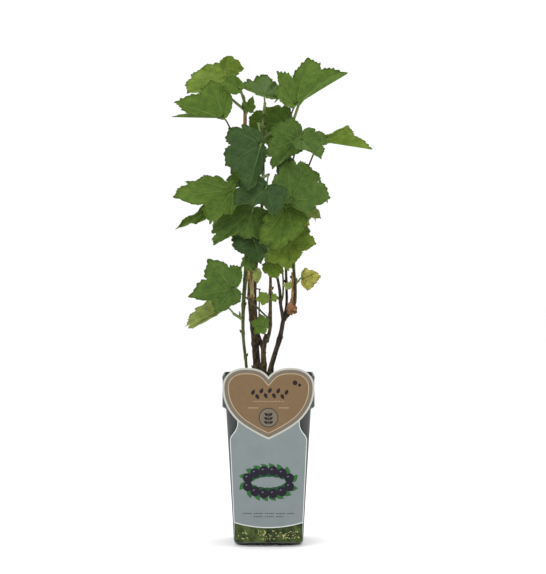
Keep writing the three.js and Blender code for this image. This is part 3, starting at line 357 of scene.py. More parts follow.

# The crown by region. Each mass grows from a limb at a height, through a hub, and lists its stem's radius
# and its leaves with their colours. The colours of these front leaves are partly painted light and shade:
# shaded inner leaves take the darker kinds, lit ones the brighter, and some that lie in other leaves' shadow
# are given a brighter kind.
CROWN = {
    "top": {
        "leaves_top_left": ["cane_old", 482, [-29, 492, 4], 1.6,
            {"top_curl": "bright", "top_left": "bright", "top_bridge": "fresh"}],
        "leaves_left_high": ["cane_old", 428, [-41, 452, -8], 1.6, {"left_high": "fresh"}],
        # painted against reflection: the top middle leaf takes tones that cancel the grey sheen it catches
        "leaves_top_middle": ["bough_middle_left", 472, [-4, 482, -8], 1.6, {"top_middle": "tilted"}],
        "leaves_top_right": ["bough_right_outer", 450, [23, 464, -10], 1.6, {"top_right": "fresh"}],
        "sprig_top": ["cane_old", 468, [-24, 472, 5], 1, {"top_bud": "fresh"}],
    },
    "upper": {
        # painted light: centre_behind lies in shade behind the crown and is given a brighter kind
        "leaves_centre_behind": ["bough_middle_left", 446, [6, 452, 16], 1.6, {"centre_behind": "fresh"}],
        "leaves_right_inner": ["bough_right_outer", 412, [30, 431, -12], 1.6,
            {"right_inner": "middle", "right_high": "middle"}],
        "leaves_right_behind": ["bough_right_outer", 400, [23.5, 398, 1], 1.6, {"right_behind": "dark"}],
        "leaves_left_behind": ["cane_old", 388, [-27, 392, 8], 1.6, {"left_behind": "middle"}],
        "leaves_right_far": ["bough_right_outer", 386, [43, 410, -2], 1.6, {"right_far": "bright"}],
        "leaves_centre_front": ["bough_middle_left", 458, [-11, 460, -26], 1.6, {"centre_front": "deep"}],
    },
    "middle": {
        # painted shade: the centre leaf takes the deep kind for the bluish shade it shows
        "leaves_centre": ["bough_middle_left", 402, [0, 404, -24], 1.6, {"centre": "deep"}],
        "leaves_right": ["bough_right_outer", 358, [30, 366, -16], 1.6,
            {"right_mid": "middle", "right_tail": "olive", "right_withered": "pale"}],
        "leaves_left": ["cane_left", 370, [-36, 380, -8], 1.6, {"left_mid": "fresh", "left_tail": "fresh"}],
        "leaves_low_middle": ["bough_middle_right", 316, [-8, 340, -18], 1.6,
            {"low_middle": "middle", "low_grey": "deep"}],
        "leaves_low_dark": ["cane_left", 306, [-24, 318, -14], 1.6,
            {"low_dark": "middle", "low_pale": "olive"}],
        # painted light: low_right lies in the shadow of the leaf before it and is given the bright kind
        "leaves_low_right": ["bough_right_middle", 316, [20, 340, -18], 1.6,
            {"low_right_front": "fresh", "low_right": "bright"}],
        "leaves_low_hanging": ["bough_right_inner", 290, [6, 298, -13], 1.6, {"low_hanging": "bright"}],
    },
    "low": {
        "leaves_low_left": ["bough_middle_right", 243, [-9, 254, -22], 1.6, {"low_left": "middle"}],
        "leaves_lowest_left": ["cane_left", 244, [-38, 250, -10], 1.6, {"low_left_curl": "olive"}],
        "sprig_low": ["bough_middle_right", 233, [-2, 236, -9], 0.9, {"sprig_low_leaf": "fresh"}],
        "sprig_middle_left": ["bough_middle_right", 266, [0, 267.5, -10], 0.9,
            {"sprig_middle_leaf": "bright"}],
        "sprig_middle_right": ["bough_middle_right", 268, [4, 268, -9], 0.9,
            {"sprig_middle_bud": "bright"}],
        "sprig_pale_leaf": ["bough_right_outer", 282, [33, 286, -4], 0.8, {"sprig_pale": "pale"}],
        "sprig_dead_leaf": ["bough_right_outer", 253, [25.5, 250, -14], 0.9, {"sprig_dead": "dead"}],
        "sprig_tiny_leaf": ["shoot_right_red", 279, [25, 280.5, -16], 0.8, {"sprig_tiny": "olive"}],
    },
}

# Masses on the hidden side: limb, height, hub and space in true [x, y, z], headings, sizes, count, seed
BACK_MASSES = {
    "leaves_back_low": ["bough_right_middle", 305, [12, 14, 334], [[-46, 2, 296], [48, 90, 380]],
        [-20, 200], [32, 48], 4, 59],
    "leaves_back_left": ["cane_old", 365, [-28, 26, 376], [[-66, 6, 320], [0, 92, 420]], [60, 220],
        [30, 50], 4, 17],
    "leaves_back_right": ["bough_right_outer", 378, [28, 24, 392], [[-8, 6, 340], [66, 94, 440]],
        [-40, 120], [30, 50], 4, 12],
    "leaves_back_high": ["bough_middle_left", 428, [-6, 26, 442], [[-48, 8, 370], [56, 94, 486]],
        [-30, 210], [28, 46], 3, 36],
    "leaves_back_top_left": ["cane_old", 476, [-42, 18, 490], [[-96, 6, 462], [-40, 84, 520]], [60, 190],
        [28, 44], 2, 65],
    "leaves_back_top_right": ["bough_right_outer", 446, [34, 16, 484], [[4, 2, 440], [76, 84, 530]],
        [20, 150], [24, 38], 1, 60],
}

# Gaps of sky in the crown as the front shows them: left, right, low, high
SKY = [[-7, 9, 396, 436], [26, 50, 414, 434], [-60, -26, 396, 458], [-110, -52, 440, 470],
       [-44, -27, 455, 499], [-22, 6, 468, 488], [41, 120, 455, 502], [-60, -31, 296, 320],
       [32, 60, 296, 319], [55, 80, 340, 374]]

DARK_STALKS = ["leaves_low_left", "leaves_right_far", "leaves_right_inner", "leaves_left_high",
               "leaves_top_right"]
BACK_KINDS = ["middle", "fresh", "dark", "middle", "bright", "dark"]
YOUNG_LIMBS = ["cane_left", "shoot_right_green"]

# A dead twig with a bar across its top, on the old cane, each line with its radius
DEAD_TWIG = [
    [[[-14.5, 236, 5], [-11, 242, 0], [-10.3, 258, -1], [-10.1, 277.5, -1]], 0.8],
    [[[-14, 278, -1], [-10.4, 277.7, -1], [-8.4, 277, -1]], 0.7],
]

# Kinds of bark on each limb: from a share of its length, the kinds and how common each is
BARK_ZONES = {
    "cane_left": [(0, {"olive": 6, "green": 4}), (0.35, {"green": 7, "olive": 3})],
    "cane_old": [(0, {"dark": 7, "black": 2, "brown": 2}), (0.3, {"dark": 4, "brown": 3, "tan": 2}),
                 (0.37, {"straw": 6, "tan": 3, "brown": 2, "green": 1}),
                 (0.55, {"tan": 4, "brown": 3, "green": 3})],
    "cane_middle": [(0, {"brown": 4, "dark": 6, "black": 2})],
    "cane_right": [(0, {"black": 7, "dark": 3})],
    "bough_middle_left": [(0, {"black": 6, "dark": 4}), (0.3, {"brown": 4, "dark": 3}),
                          (0.55, {"green": 6, "olive": 2})],
    "bough_middle_right": [(0, {"brown": 5, "dark": 5}), (0.6, {"brown": 6, "tan": 3})],
    "bough_right_outer": [(0, {"black": 7, "dark": 3}), (0.12, {"brown": 5, "dark": 4}),
                          (0.4, {"green": 5, "olive": 3})],
    "bough_right_inner": [(0, {"black": 7, "dark": 3})],
    "bough_right_middle": [(0, {"black": 5, "dark": 5})],
    "shoot_right_green": [(0, {"green": 7, "olive": 3})],
    "shoot_right_red": [(0, {"tan": 5, "brown": 5})],
}

# Colours from 0 to 255, as they look in the photograph's even light.
# A leaf has its lit and its shaded blade, then the tones of its rim and of its veins
# bright to deep: one green in steps of brightness, partly own tone and partly painted light and shade
LEAF_TONES = {
    "bright": [(101, 122, 42), (74, 97, 33), (114, 134, 52), (126, 145, 70)],
    "fresh": [(79, 103, 36), (58, 82, 28), (94, 116, 44), (108, 130, 62)],
    "middle": [(72, 96, 38), (52, 74, 30), (84, 106, 44), (100, 122, 62)],
    "dark": [(62, 86, 40), (44, 64, 31), (72, 94, 44), (90, 112, 62)],
    "deep": [(52, 74, 37), (36, 54, 27), (60, 82, 40), (80, 102, 58)],
    "olive": [(128, 141, 73), (98, 112, 54), (144, 155, 86), (154, 163, 98)],
    "pale": [(176, 172, 88), (146, 144, 64), (194, 188, 104), (120, 112, 60)],
    "dead": [(176, 128, 88), (30, 20, 16), (34, 22, 17), (48, 32, 24)],
    # painted against reflection: deeper, more saturated tones that cancel the grey sky sheen a tilted leaf
    # catches
    "tilted": [(62, 88, 20), (48, 70, 14), (70, 96, 26), (94, 118, 48)],
    "under": [(88, 116, 46), (66, 92, 36), (98, 124, 50), (112, 138, 66)],
}
SAME_UNDERSIDE = ("pale", "dead", "olive")
LEAF_CELLS = {"dead": 3.4, "pale": 4}
LEAF_CELL = 6
VEIN_CELL = 8
# Surfaces as roughness, the grain's size and height in mm, and sheen
LEAF_SURFACE = (0.5, 1.3, 0.3, 0.09)
VEIN_SURFACE = (0.5, 1.2, 0.1, 0.09)
CARD_SURFACE = (0.48, 0.4, 0.02, 0.12)
# Papers and inks of the card, whose second tone is a share of the first
CARD_TONES = {
    "white": (200, 204, 202), "body": (118, 126, 127), "border": (172, 172, 162), "band": (108, 99, 87),
    "line": (168, 148, 120), "kraft": (112, 91, 66), "ink": (36, 30, 28), "grey": (42, 48, 48),
    "strip_edge": (24, 32, 18), "cream": (170, 164, 110), "berry": (32, 28, 40), "shine": (104, 100, 122),
    "leaf": (26, 70, 40), "leaf_light": (44, 92, 48),
}
CARD_SHADE = 0.93
CARD_CELLS = {"band": 5, "kraft": 5}
CARD_CELL = 14
# All others: two tones, the size of their cells in mm, and their surface
OTHER_MATERIALS = {
    "card_strip": [(72, 84, 42), (28, 40, 20), 6, *CARD_SURFACE],
    "stalk_green": [(112, 128, 66), (88, 104, 48), 9, 0.5, 1.2, 0.15, 0.4],
    "stalk_dark": [(76, 70, 52), (50, 48, 36), 9, 0.5, 1.2, 0.15, 0.2],
    "bark_dark": [(82, 71, 54), (38, 33, 26), 3, 0.75, 0.8, 0.7, 0.12],
    "bark_black": [(62, 54, 45), (27, 24, 20), 3, 0.75, 0.8, 0.7, 0.12],
    "bark_brown": [(94, 80, 52), (52, 44, 30), 3, 0.75, 0.8, 0.7, 0.12],
    "bark_straw": [(186, 172, 122), (138, 122, 76), 3, 0.7, 0.8, 0.4, 0.15],
    "bark_tan": [(152, 116, 74), (110, 82, 50), 3, 0.7, 0.8, 0.5, 0.15],
    "bark_green": [(86, 96, 46), (52, 61, 30), 5, 0.55, 1.2, 0.25, 0.12],
    "bark_olive": [(78, 80, 49), (50, 51, 33), 5, 0.6, 1.2, 0.3, 0.12],
    "pot_plastic": [(54, 56, 57), (51, 53, 54), 30, 0.42, 0.5, 0.05, 0.4],
    "compost_soil": [(72, 54, 42), (38, 28, 22), 3, 0.95, 0.7, 0.8, 0.4],
    "compost_peat": [(58, 42, 33), (30, 22, 18), 2, 0.95, 0.6, 0.5, 0.4],
    "compost_bark": [(122, 88, 60), (84, 58, 40), 2, 0.9, 0.6, 0.4, 0.4],
    "compost_fibre": [(150, 120, 84), (112, 84, 56), 2, 0.9, 0.6, 0.3, 0.4],
}
TONE_STOPS = (0.35, 0.65)
MATERIALS = {}


def mix(a, b, share):
    return a + (b - a) * share


def tone(colour):
    """The linear colour that a shader takes."""
    shares = np.array(colour) / 255
    return np.where(shares <= 0.04045, shares / 12.92, ((shares + 0.055) / 1.055) ** 2.4)


def material(name, light, dark, cell, roughness, grain, height, sheen):
    """Two tones that wander over cells, with a fine grain."""
    made = MATERIALS[name] = bpy.data.materials.new(name)
    made.use_nodes = True
    new_node = made.node_tree.nodes.new
    link = made.node_tree.links.new
    shader = made.node_tree.nodes["Principled BSDF"]
    shader.inputs["Roughness"].default_value = roughness
    shader.inputs["Specular IOR Level"].default_value = sheen
    places = new_node("ShaderNodeTexCoord").outputs["Object"]

    def noise(size, detail):
        node = new_node("ShaderNodeTexNoise")
        node.inputs["Scale"].default_value = 1 / (size * MM)
        node.inputs["Detail"].default_value = detail
        link(places, node.inputs["Vector"])
        return node.outputs["Fac"]

    ramp = new_node("ShaderNodeValToRGB")
    for element, stop, colour in zip(ramp.color_ramp.elements, TONE_STOPS, (dark, light)):
        element.position = stop
        element.color = (*colour, 1)
    link(noise(cell, 4), ramp.inputs["Fac"])
    link(ramp.outputs["Color"], shader.inputs["Base Color"])
    bump = new_node("ShaderNodeBump")
    bump.inputs["Strength"].default_value = 1
    bump.inputs["Distance"].default_value = height * MM
    link(noise(grain, 3), bump.inputs["Height"])
    link(bump.outputs["Normal"], shader.inputs["Normal"])


def make_materials():
    for kind, tones in LEAF_TONES.items():
        light, dark, rim, vein = (tone(colour) for colour in tones)
        cell = LEAF_CELLS.get(kind, LEAF_CELL)
        material(f"leaf_{kind}", light, mix(dark, light, 0.25), cell, *LEAF_SURFACE)
        # rim tones a little paler than the blade: painted highlight along the leaf's edge
        material(f"rim_{kind}", mix(light, rim, 0.5), mix(light, dark, 0.5), cell, *LEAF_SURFACE)
        material(f"vein_{kind}", vein, vein, VEIN_CELL, *VEIN_SURFACE)
    for name, colour in CARD_TONES.items():
        light = tone(colour)
        material(f"card_{name}", light, light * CARD_SHADE, CARD_CELLS.get(name, CARD_CELL), *CARD_SURFACE)
    for name, (light, dark, *surface) in OTHER_MATERIALS.items():
        material(name, tone(light), tone(dark), *surface)


# Places, directions and lines

TO_EYE = np.array([0.0, -1.0, 0.0])
UP = np.array([0.0, 0.0, 1.0])


def seen(place):
    """Turns a place seen from the eye, [across, up, depth], into a point of space."""
    x, z, y = place[:3]
    scale = 1 + y / EYE_DISTANCE
    return np.array([x * scale, y, EYE_HEIGHT + (z - EYE_HEIGHT) * scale])


def unit(vectors):
    lengths = np.linalg.norm(vectors, axis=-1, keepdims=True)
    return vectors / np.maximum(lengths, 1e-9)


def turned(vector, axis, degrees):
    angle = math.radians(degrees)
    along = axis * np.dot(axis, vector) * (1 - math.cos(angle))
    return vector * math.cos(angle) + np.cross(axis, vector) * math.sin(angle) + along


def round_angles(count):
    return np.arange(count) * 2 * math.pi / count


def pattern(degrees, reach):
    """Places of a flat pattern from their turn and reach."""
    angle = np.radians(degrees)
    return np.stack([np.cos(angle) * reach, np.sin(angle) * reach], axis=-1)


def polar(flat):
    """The turn in degrees and the reach of places of a flat pattern."""
    return np.degrees(np.arctan2(flat[:, 1], flat[:, 0])), np.hypot(flat[:, 0], flat[:, 1])


def curve_points(points, shares):
    """Places on the smooth line through points, a Catmull-Rom spline of tension one half."""
    points = np.asarray(points, float)
    spans = len(points) - 1
    padded = np.vstack([2 * points[0] - points[1], points, 2 * points[-1] - points[-2]])
    place = np.clip(np.asarray(shares, float) * spans, 0, spans)
    span = np.minimum(np.floor(place).astype(int), spans - 1)
    t = (place - span)[:, None]
    a, b, c, d = (padded[span + i] for i in range(4))
    slope_b = (c - a) / 2
    slope_c = (d - b) / 2
    square = 3 * (c - b) - 2 * slope_b - slope_c
    cube = 2 * (b - c) + slope_b + slope_c
    return b + slope_b * t + square * t**2 + cube * t**3


def curve_length(points):
    places = curve_points(points, np.linspace(0, 1, 201))
    return float(np.sum(np.linalg.norm(np.diff(places, axis=0), axis=1)))


def even_steps(points, step, least):
    """Shares of a line in steps of about a length, at least so many, and the places there."""
    steps = max(least, round(curve_length(points) / step))
    shares = np.linspace(0, 1, steps + 1)
    return shares, curve_points(points, shares)


def limb_line(name):
    return np.array([seen(place) for place in LIMBS[name]])


class Noise:
    """Smooth seeded noise from -1 to 1 that repeats after 32 cells."""

    SIZE = 32

    def __init__(self, seed):
        self.table = np.random.default_rng(seed).uniform(-1, 1, (self.SIZE,) * 3)

    def __call__(self, places):
        low = np.floor(places).astype(int)
        share = places - low
        share = share * share * (3 - 2 * share)
        total = np.zeros(len(places))
        for corner in np.ndindex(2, 2, 2):
            x, y, z = ((low + corner) % self.SIZE).T
            weight = np.prod(np.where(corner, share, 1 - share), axis=1)
            total += weight * self.table[x, y, z]
        return total


# Pieces


def linked(name, data):
    """A new object of a mesh, lamp or camera, in the scene."""
    made = bpy.data.objects.new(name, data)
    bpy.context.scene.collection.objects.link(made)
    return made


def hand_over(piece, nodes=()):
    """Puts a finished piece on its body and hides the nodes that it replaces."""
    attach(piece, BODY)
    if nodes:
        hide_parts(*nodes)


class Shape:
    """Gathers the vertices and faces of one piece, in millimetres."""

    def __init__(self):
        self.vertices = []
        self.faces = []
        self.kinds = []
        self.count = 0

    def add(self, vertices, blocks, kind):
        """kind names one material, or lists for each block of faces a name or its faces' names."""
        kinds = [kind] * len(blocks) if isinstance(kind, str) else kind
        for block, names in zip(blocks, kinds):
            self.faces.append(np.asarray(block, int) + self.count)
            self.kinds.append(np.full(len(block), names, "U20"))
        self.vertices.append(np.asarray(vertices, float))
        self.count += len(vertices)
        return self

    def plain(self, name):
        """An object of the shape, without its materials."""
        mesh = bpy.data.meshes.new(name)
        faces = [face for block in self.faces for face in block.tolist()]
        mesh.from_pydata((np.vstack(self.vertices) * MM).tolist(), [], faces)
        mesh.polygons.foreach_set("use_smooth", [True] * len(faces))
        return linked(name, mesh)

    def make(self, name, slot, nodes=()):
        piece = self.plain(name)
        kinds, indices = np.unique(np.concatenate(self.kinds), return_inverse=True)
        for kind in kinds:
            piece.data.materials.append(MATERIALS[kind])
        piece.data.polygons.foreach_set("material_index", indices.astype(np.int32))
        piece.data.validate()
        hand_over(piece, nodes)
        return piece


def lattice_faces(rows, columns):
    """Four-sided faces between the rings of a lattice."""
    across = np.arange(columns)
    start = np.arange(rows - 1)[:, None] * columns
    a = (start + across).ravel()
    b = (start + (across + 1) % columns).ravel()
    return np.stack([a, b, b + columns, a + columns], axis=1)


def cap_faces(start, columns, centre, flip):
    across = np.arange(columns)
    ring = start + across
    ahead = start + (across + 1) % columns
    hub = np.full(columns, centre)
    return np.stack([hub, ahead, ring] if flip else [hub, ring, ahead], axis=1)


def add_skin(shape, rings, ends, kind):
    """A closed skin through rings of points, with a fan round a point at each end."""
    sides = len(rings[0])
    total = sides * len(rings)
    caps = [cap_faces(0, sides, total, True), cap_faces(total - sides, sides, total + 1, False)]
    return shape.add(np.vstack([*rings, ends]), [lattice_faces(len(rings), sides), *caps], kind)


def tube_rings(places, radii, sides):
    """Rings of points round a line, with one radius for each ring or for each point."""
    reach = np.broadcast_to(np.reshape(radii, (len(places), -1)), (len(places), sides))
    angles = round_angles(sides)[:, None]
    tangents = unit(np.gradient(places, axis=0))
    normal = np.cross(UP, tangents[0])
    if np.linalg.norm(normal) < 0.1:
        normal = np.array([1.0, 0.0, 0.0])
    rings = []
    for place, tangent, radius in zip(places, tangents, reach):
        normal = unit(normal - tangent * np.dot(normal, tangent))
        side = np.cross(tangent, normal)
        rings.append(place + radius[:, None] * (np.cos(angles) * normal + np.sin(angles) * side))
    return np.array(rings)


def add_tube(shape, places, radii, sides, kind):
    return add_skin(shape, tube_rings(places, radii, sides), places[[0, -1]], kind)


# Limbs, with the relief of their bark


def bark_noise(noise, rows, stretch):
    """The noise at each point of a limb's rings."""
    around, along, shift = stretch
    turn, run = np.meshgrid(round_angles(BARK_SIDES), np.arange(rows) * BARK_STEP)
    spots = np.stack([np.cos(turn) * around, np.sin(turn) * around, run / along], axis=-1)
    return noise(spots.reshape(-1, 3) + shift).reshape(rows, BARK_SIDES)


def bark_relief(rows, seed, rough):
    """Long ridges, fine grit and a swelling at each bud, as shares of the radius."""
    noise = Noise(seed)
    ridges, grit, lean = (bark_noise(noise, rows, stretch) for stretch in (RIDGES, GRIT, LEAN))
    fine = RIDGE_HEIGHT * np.abs(ridges) + GRIT_HEIGHT * grit
    relief = 1 + rough * fine + LEAN_HEIGHT * lean - GRIT_HEIGHT
    phase = (np.arange(rows) * BARK_STEP + seed * 7) % NODE_SPACING - NODE_SPACING / 2
    return relief + (NODE_SWELL * np.exp(-((phase / NODE_WIDTH) ** 2)))[:, None]


def bark_kinds(name, rows, seed):
    """Deals each face a kind of bark, in streaks that run along the limb."""
    noise = Noise(seed + 100)
    streaks, flecks, wobble = (bark_noise(noise, rows, stretch) for stretch in (STREAKS, FLECKS, WOBBLE))
    level = np.clip(0.5 + STREAK_SHARE * streaks + FLECK_SHARE * flecks, 0, 0.999)
    share = np.arange(rows)[:, None] / rows + WOBBLE_SHARE * wobble
    kinds = f"bark_{list(BARK_ZONES[name][0][1])[0]}"
    for start, common in BARK_ZONES[name]:
        limits = np.cumsum(list(common.values())) / sum(common.values())
        dealt = np.array([f"bark_{kind}" for kind in common])[np.searchsorted(limits, level, side="right")]
        kinds = np.where(share >= start, dealt, kinds)
    return kinds.ravel()


def add_bud(shape, root, out, up, kind):
    """A small pointed bud that hugs the stem."""
    tip = root + out * BUD_LENGTH * 0.55 + up * BUD_LENGTH * 0.8
    places = curve_points([root, root + out * 1.2 + up * 1.4, tip], np.linspace(0, 1, len(BUD_SWELL)))
    add_tube(shape, places, BUD_RADIUS * BUD_SWELL, 8, kind)


def dressed_limb(name, seed):
    young = name in YOUNG_LIMBS
    points = limb_line(name)
    shares, places = even_steps(points, BARK_STEP, 6)
    rows = len(places)
    radii = np.interp(shares * (len(points) - 1), np.arange(len(points)), [place[3] for place in LIMBS[name]])
    if not name.startswith("cane"):
        radii = radii * (1 + FLARE * np.exp(-shares * (rows - 1) * BARK_STEP / FLARE_LENGTH))
    relief = bark_relief(rows, seed, YOUNG_ROUGHNESS if young else 1)
    rings = tube_rings(places, radii[:, None] * relief, BARK_SIDES)
    cut = "bark_straw" if name == "cane_middle" else "bark_brown"
    shape = add_skin(Shape(), rings, places[[0, -1]], [bark_kinds(name, rows - 1, seed), cut, cut])
    nodes = [i for i in range(2, rows - 2) if (i * BARK_STEP + seed * 7) % NODE_SPACING < BARK_STEP]
    for turn, node in enumerate(nodes):
        step = node + round(NODE_SPACING / 2 / BARK_STEP)
        if step >= rows - 1 or places[step][2] < BUD_FREE_HEIGHT:
            continue
        root = rings[step][(turn * 9 + seed * 5) % BARK_SIDES]
        out = unit(root - places[step])
        along = unit(places[step + 1] - places[step])
        add_bud(shape, root - out * BUD_SINK, out, along, "bark_olive" if young else "bark_brown")
    shape.make(f"{name}_bark", "young_wood" if young else "old_wood", [name])


def dead_twig():
    shape = Shape()
    for line, radius in DEAD_TWIG:
        places = curve_points([seen(place) for place in line], np.linspace(0, 1, 16))
        add_tube(shape, places, np.linspace(radius, radius * 0.8, 16), 8, "bark_black")
    shape.make("dead_twig", "old_wood")


# Leaves as they lie in space


def leaf_frame(name):
    """A leaf's stalk point, its lobes and the side on which it is raised."""
    shape = {**USUAL_SHAPE, **OWN_SHAPE.get(name, {})}
    if name in SMALL_LEAVES:
        base, tip, width = SMALL_LEAVES[name]
        middle = seen(tip) - seen(base)
        lobes = [turned(middle, TO_EYE, turn) * reach * width for turn, reach in zip(LOBE_TURNS, LOBE_REACH)]
        lobes[MIDDLE_LOBE] = middle
    else:
        base, *tips, shape["clefts"] = LEAVES[name]
        lobes = [seen(tip) - seen(base) for tip in tips]
    return {"base": seen(base), "lobes": lobes, "raised": TO_EYE, **shape}


def grown_frame(base, size, heading, pitch, roll):
    """A leaf of a size that heads out level at an angle, dips by pitch and leans by roll."""
    h, p, r = (math.radians(angle) for angle in (heading, pitch, roll))
    along = np.array([math.cos(h) * math.cos(p), math.sin(h) * math.cos(p), -math.sin(p)])
    level = np.array([-math.sin(h), math.cos(h), 0.0])
    side = level * math.cos(r) + np.cross(along, level) * math.sin(r)
    raised = np.cross(along, side)
    lobes = []
    for turn, reach in zip(np.radians(LOBE_TURNS), LOBE_REACH):
        flat = (along * math.cos(turn) + side * math.sin(turn)) * size * reach
        lobes.append(flat - raised * LOBE_DROOP * size * reach * reach)
    return {"base": base, "lobes": lobes, "raised": raised, **USUAL_SHAPE}


def between(a, b, share):
    """Directions between two lobes at shares of the turn, with their lengths."""
    length_a = np.linalg.norm(a)
    length_b = np.linalg.norm(b)
    turn = max(math.acos(np.clip(np.dot(a, b) / length_a / length_b, -1, 1)), 1e-4)
    from_a = np.outer(np.sin((1 - share) * turn) / length_a / math.sin(turn), a)
    from_b = np.outer(np.sin(share * turn) / length_b / math.sin(turn), b)
    return unit(from_a + from_b) * mix(length_a, length_b, share)[:, None]


def surface(leaf, flat):
    """Lays places of the flat pattern, its lobes one long and evenly fanned, out on a leaf."""
    turn, reach = polar(flat)
    back = -BACK_SHARE * leaf["lobes"][MIDDLE_LOBE]
    turns = [180, *LOBE_TURNS, -180]
    lobes = [back, *leaf["lobes"], back]
    out = np.zeros((len(flat), 3))
    for gap in range(LOBES + 1):
        inside = (turn <= turns[gap]) & (turn >= turns[gap + 1])
        share = (turns[gap] - turn[inside]) / (turns[gap] - turns[gap + 1])
        reached = between(lobes[gap], lobes[gap + 1], share) * reach[inside][:, None]
        if 0 < gap < LOBES:
            proud = CREASE * np.linalg.norm(reached, axis=1) * np.sin(math.pi * share)
            reached = reached + proud[:, None] * leaf["raised"]
        out[inside] = leaf["base"] + reached
    return out


def edge_corners(leaf):
    """Corners of the flat pattern's edge, from the notch at the stalk round all lobes and back to it."""
    reaches = [1.0] * (2 * LOBES - 1)
    reaches[1::2] = leaf["clefts"]
    turns = LOBE_TURN * np.arange(MIDDLE_LOBE, -MIDDLE_LOBE - 0.5, -0.5)
    first_ear, last_ear = leaf["ears"]
    return pattern(
        [180, EAR_ANGLE, *turns, -EAR_ANGLE, -180],
        [STALK_NOTCH, first_ear, *reaches, last_ear, STALK_NOTCH],
    )


def edge_middle(cleft, bulge):
    """The bulging middle of an edge from a lobe's tip to a cleft: its turn from the tip and its reach."""
    floor = pattern(LOBE_TURN / 2, cleft)
    chord = floor - [1, 0]
    out = np.array([floor[1], -chord[0]]) * bulge / np.linalg.norm(chord)
    middle = [1, 0] + chord * 0.5 + out
    return math.degrees(math.atan2(middle[1], middle[0])), np.linalg.norm(middle)


# The seeded rule for the leaves on the hidden side


def random_numbers(seed):
    """The source's small random number generator, from 0 up to 1."""
    state = seed & WORD
    while True:
        state = (state + 0x6D2B79F5) & WORD
        mixed = ((state ^ (state >> 15)) * (1 | state)) & WORD
        more = ((mixed ^ (mixed >> 7)) * (61 | mixed)) & WORD
        mixed = ((mixed + more) & WORD) ^ mixed
        yield (mixed ^ (mixed >> 14)) / 4294967296


def leaf_samples(leaf):
    """Places on a leaf: its stalk point, and its outline at quarters of the way out."""
    outline = list(edge_corners(leaf)[1:])
    for gap, cleft in enumerate(leaf["clefts"]):
        turn, reach = edge_middle(cleft, leaf["bulge"])
        if gap > 0:
            outline.append(pattern(LOBE_TURNS[gap] - turn, reach))
        if gap < LOBES - 2:
            outline.append(pattern(LOBE_TURNS[gap + 1] + turn, reach))
    spread = np.concatenate([place * np.array([[0.25], [0.5], [0.75], [1]]) for place in outline])
    return np.vstack([leaf["base"], surface(leaf, spread)])


def line_samples(points, step):
    count = math.ceil(curve_length(points) / step)
    return curve_points(points, np.arange(count + 1) / count)


def stem_line(limb, height, hub):
    """From the middle of a limb at a height to just beyond the hub of a mass."""
    places = curve_points(limb_line(limb), np.arange(401) / 400)
    root = places[np.argmin(np.abs(places[:, 2] - height))]
    return np.array([root, hub + unit(hub - root) * STALK_RADIUS])


def stalk_line(hub, leaf):
    arch = mix(hub, leaf["base"], 0.55) + UP * STALK_ARCH
    end = leaf["base"] + unit(leaf["lobes"][MIDDLE_LOBE]) * STALK_SINK
    return np.array([hub, arch, leaf["base"], end])


def is_near(points, others, gap):
    apart = points[:, None, :] - others[None, :, :]
    return bool(np.any(np.sum(apart * apart, axis=-1) < gap * gap))


def is_in_sky(points):
    x, z = points[:, 0], points[:, 2]
    return any(np.any((x > left) & (x < right) & (z > low) & (z < high)) for left, right, low, high in SKY)


def grow(hub, space, headings, sizes, count, seed, taken):
    """Grows one mass's leaves: one that leaves its space, fills a gap of sky or touches is skipped."""
    numbers = random_numbers(seed)
    limits = (headings, PITCHES, ROLLS, sizes, STALK_LENGTHS, RISES)
    leaves = []
    for _ in range(GROW_ATTEMPTS):
        if len(leaves) == count:
            break
        heading, pitch, roll, size, stalk, rise = (mix(low, high, next(numbers)) for low, high in limits)
        turn = math.radians(heading)
        out = np.array([math.cos(turn) * math.cos(rise), math.sin(turn) * math.cos(rise), math.sin(rise)])
        leaf = grown_frame(hub + out * stalk, size, heading, pitch, roll)
        blade = leaf_samples(leaf)
        if np.any((blade <= space[0]) | (blade >= space[1])) or is_in_sky(blade):
            continue
        if is_near(blade, taken["limbs"], LIMB_GAP) or is_near(blade, taken["leaves"], LEAF_GAP):
            continue
        stalk_points = line_samples(stalk_line(hub, leaf), STALK_SAMPLE)
        if is_near(blade, taken["stalks"], STALK_GAP) or is_near(stalk_points, taken["leaves"], STALK_GAP):
            continue
        taken["leaves"] = np.vstack([taken["leaves"], blade])
        taken["stalks"] = np.vstack([taken["stalks"], stalk_points[4:]])
        leaves.append(leaf)
    return leaves


def taken_places():
    """Samples of all that the front of the plant fills."""
    limbs = [line_samples(limb_line(name), LIMB_SAMPLE) for name in LIMBS]
    blades = []
    stalks = []
    for masses in CROWN.values():
        for limb, height, hub, _, leaves in masses.values():
            stalks.append(line_samples(stem_line(limb, height, seen(hub)), STALK_SAMPLE))
            for leaf in map(leaf_frame, leaves):
                blades.append(leaf_samples(leaf))
                stalks.append(line_samples(stalk_line(seen(hub), leaf), STALK_SAMPLE))
    return {"limbs": np.vstack(limbs), "leaves": np.vstack(blades), "stalks": np.vstack(stalks)}


# Fine leaves: a toothed edge, veins pressed in between quilted panels, two sides


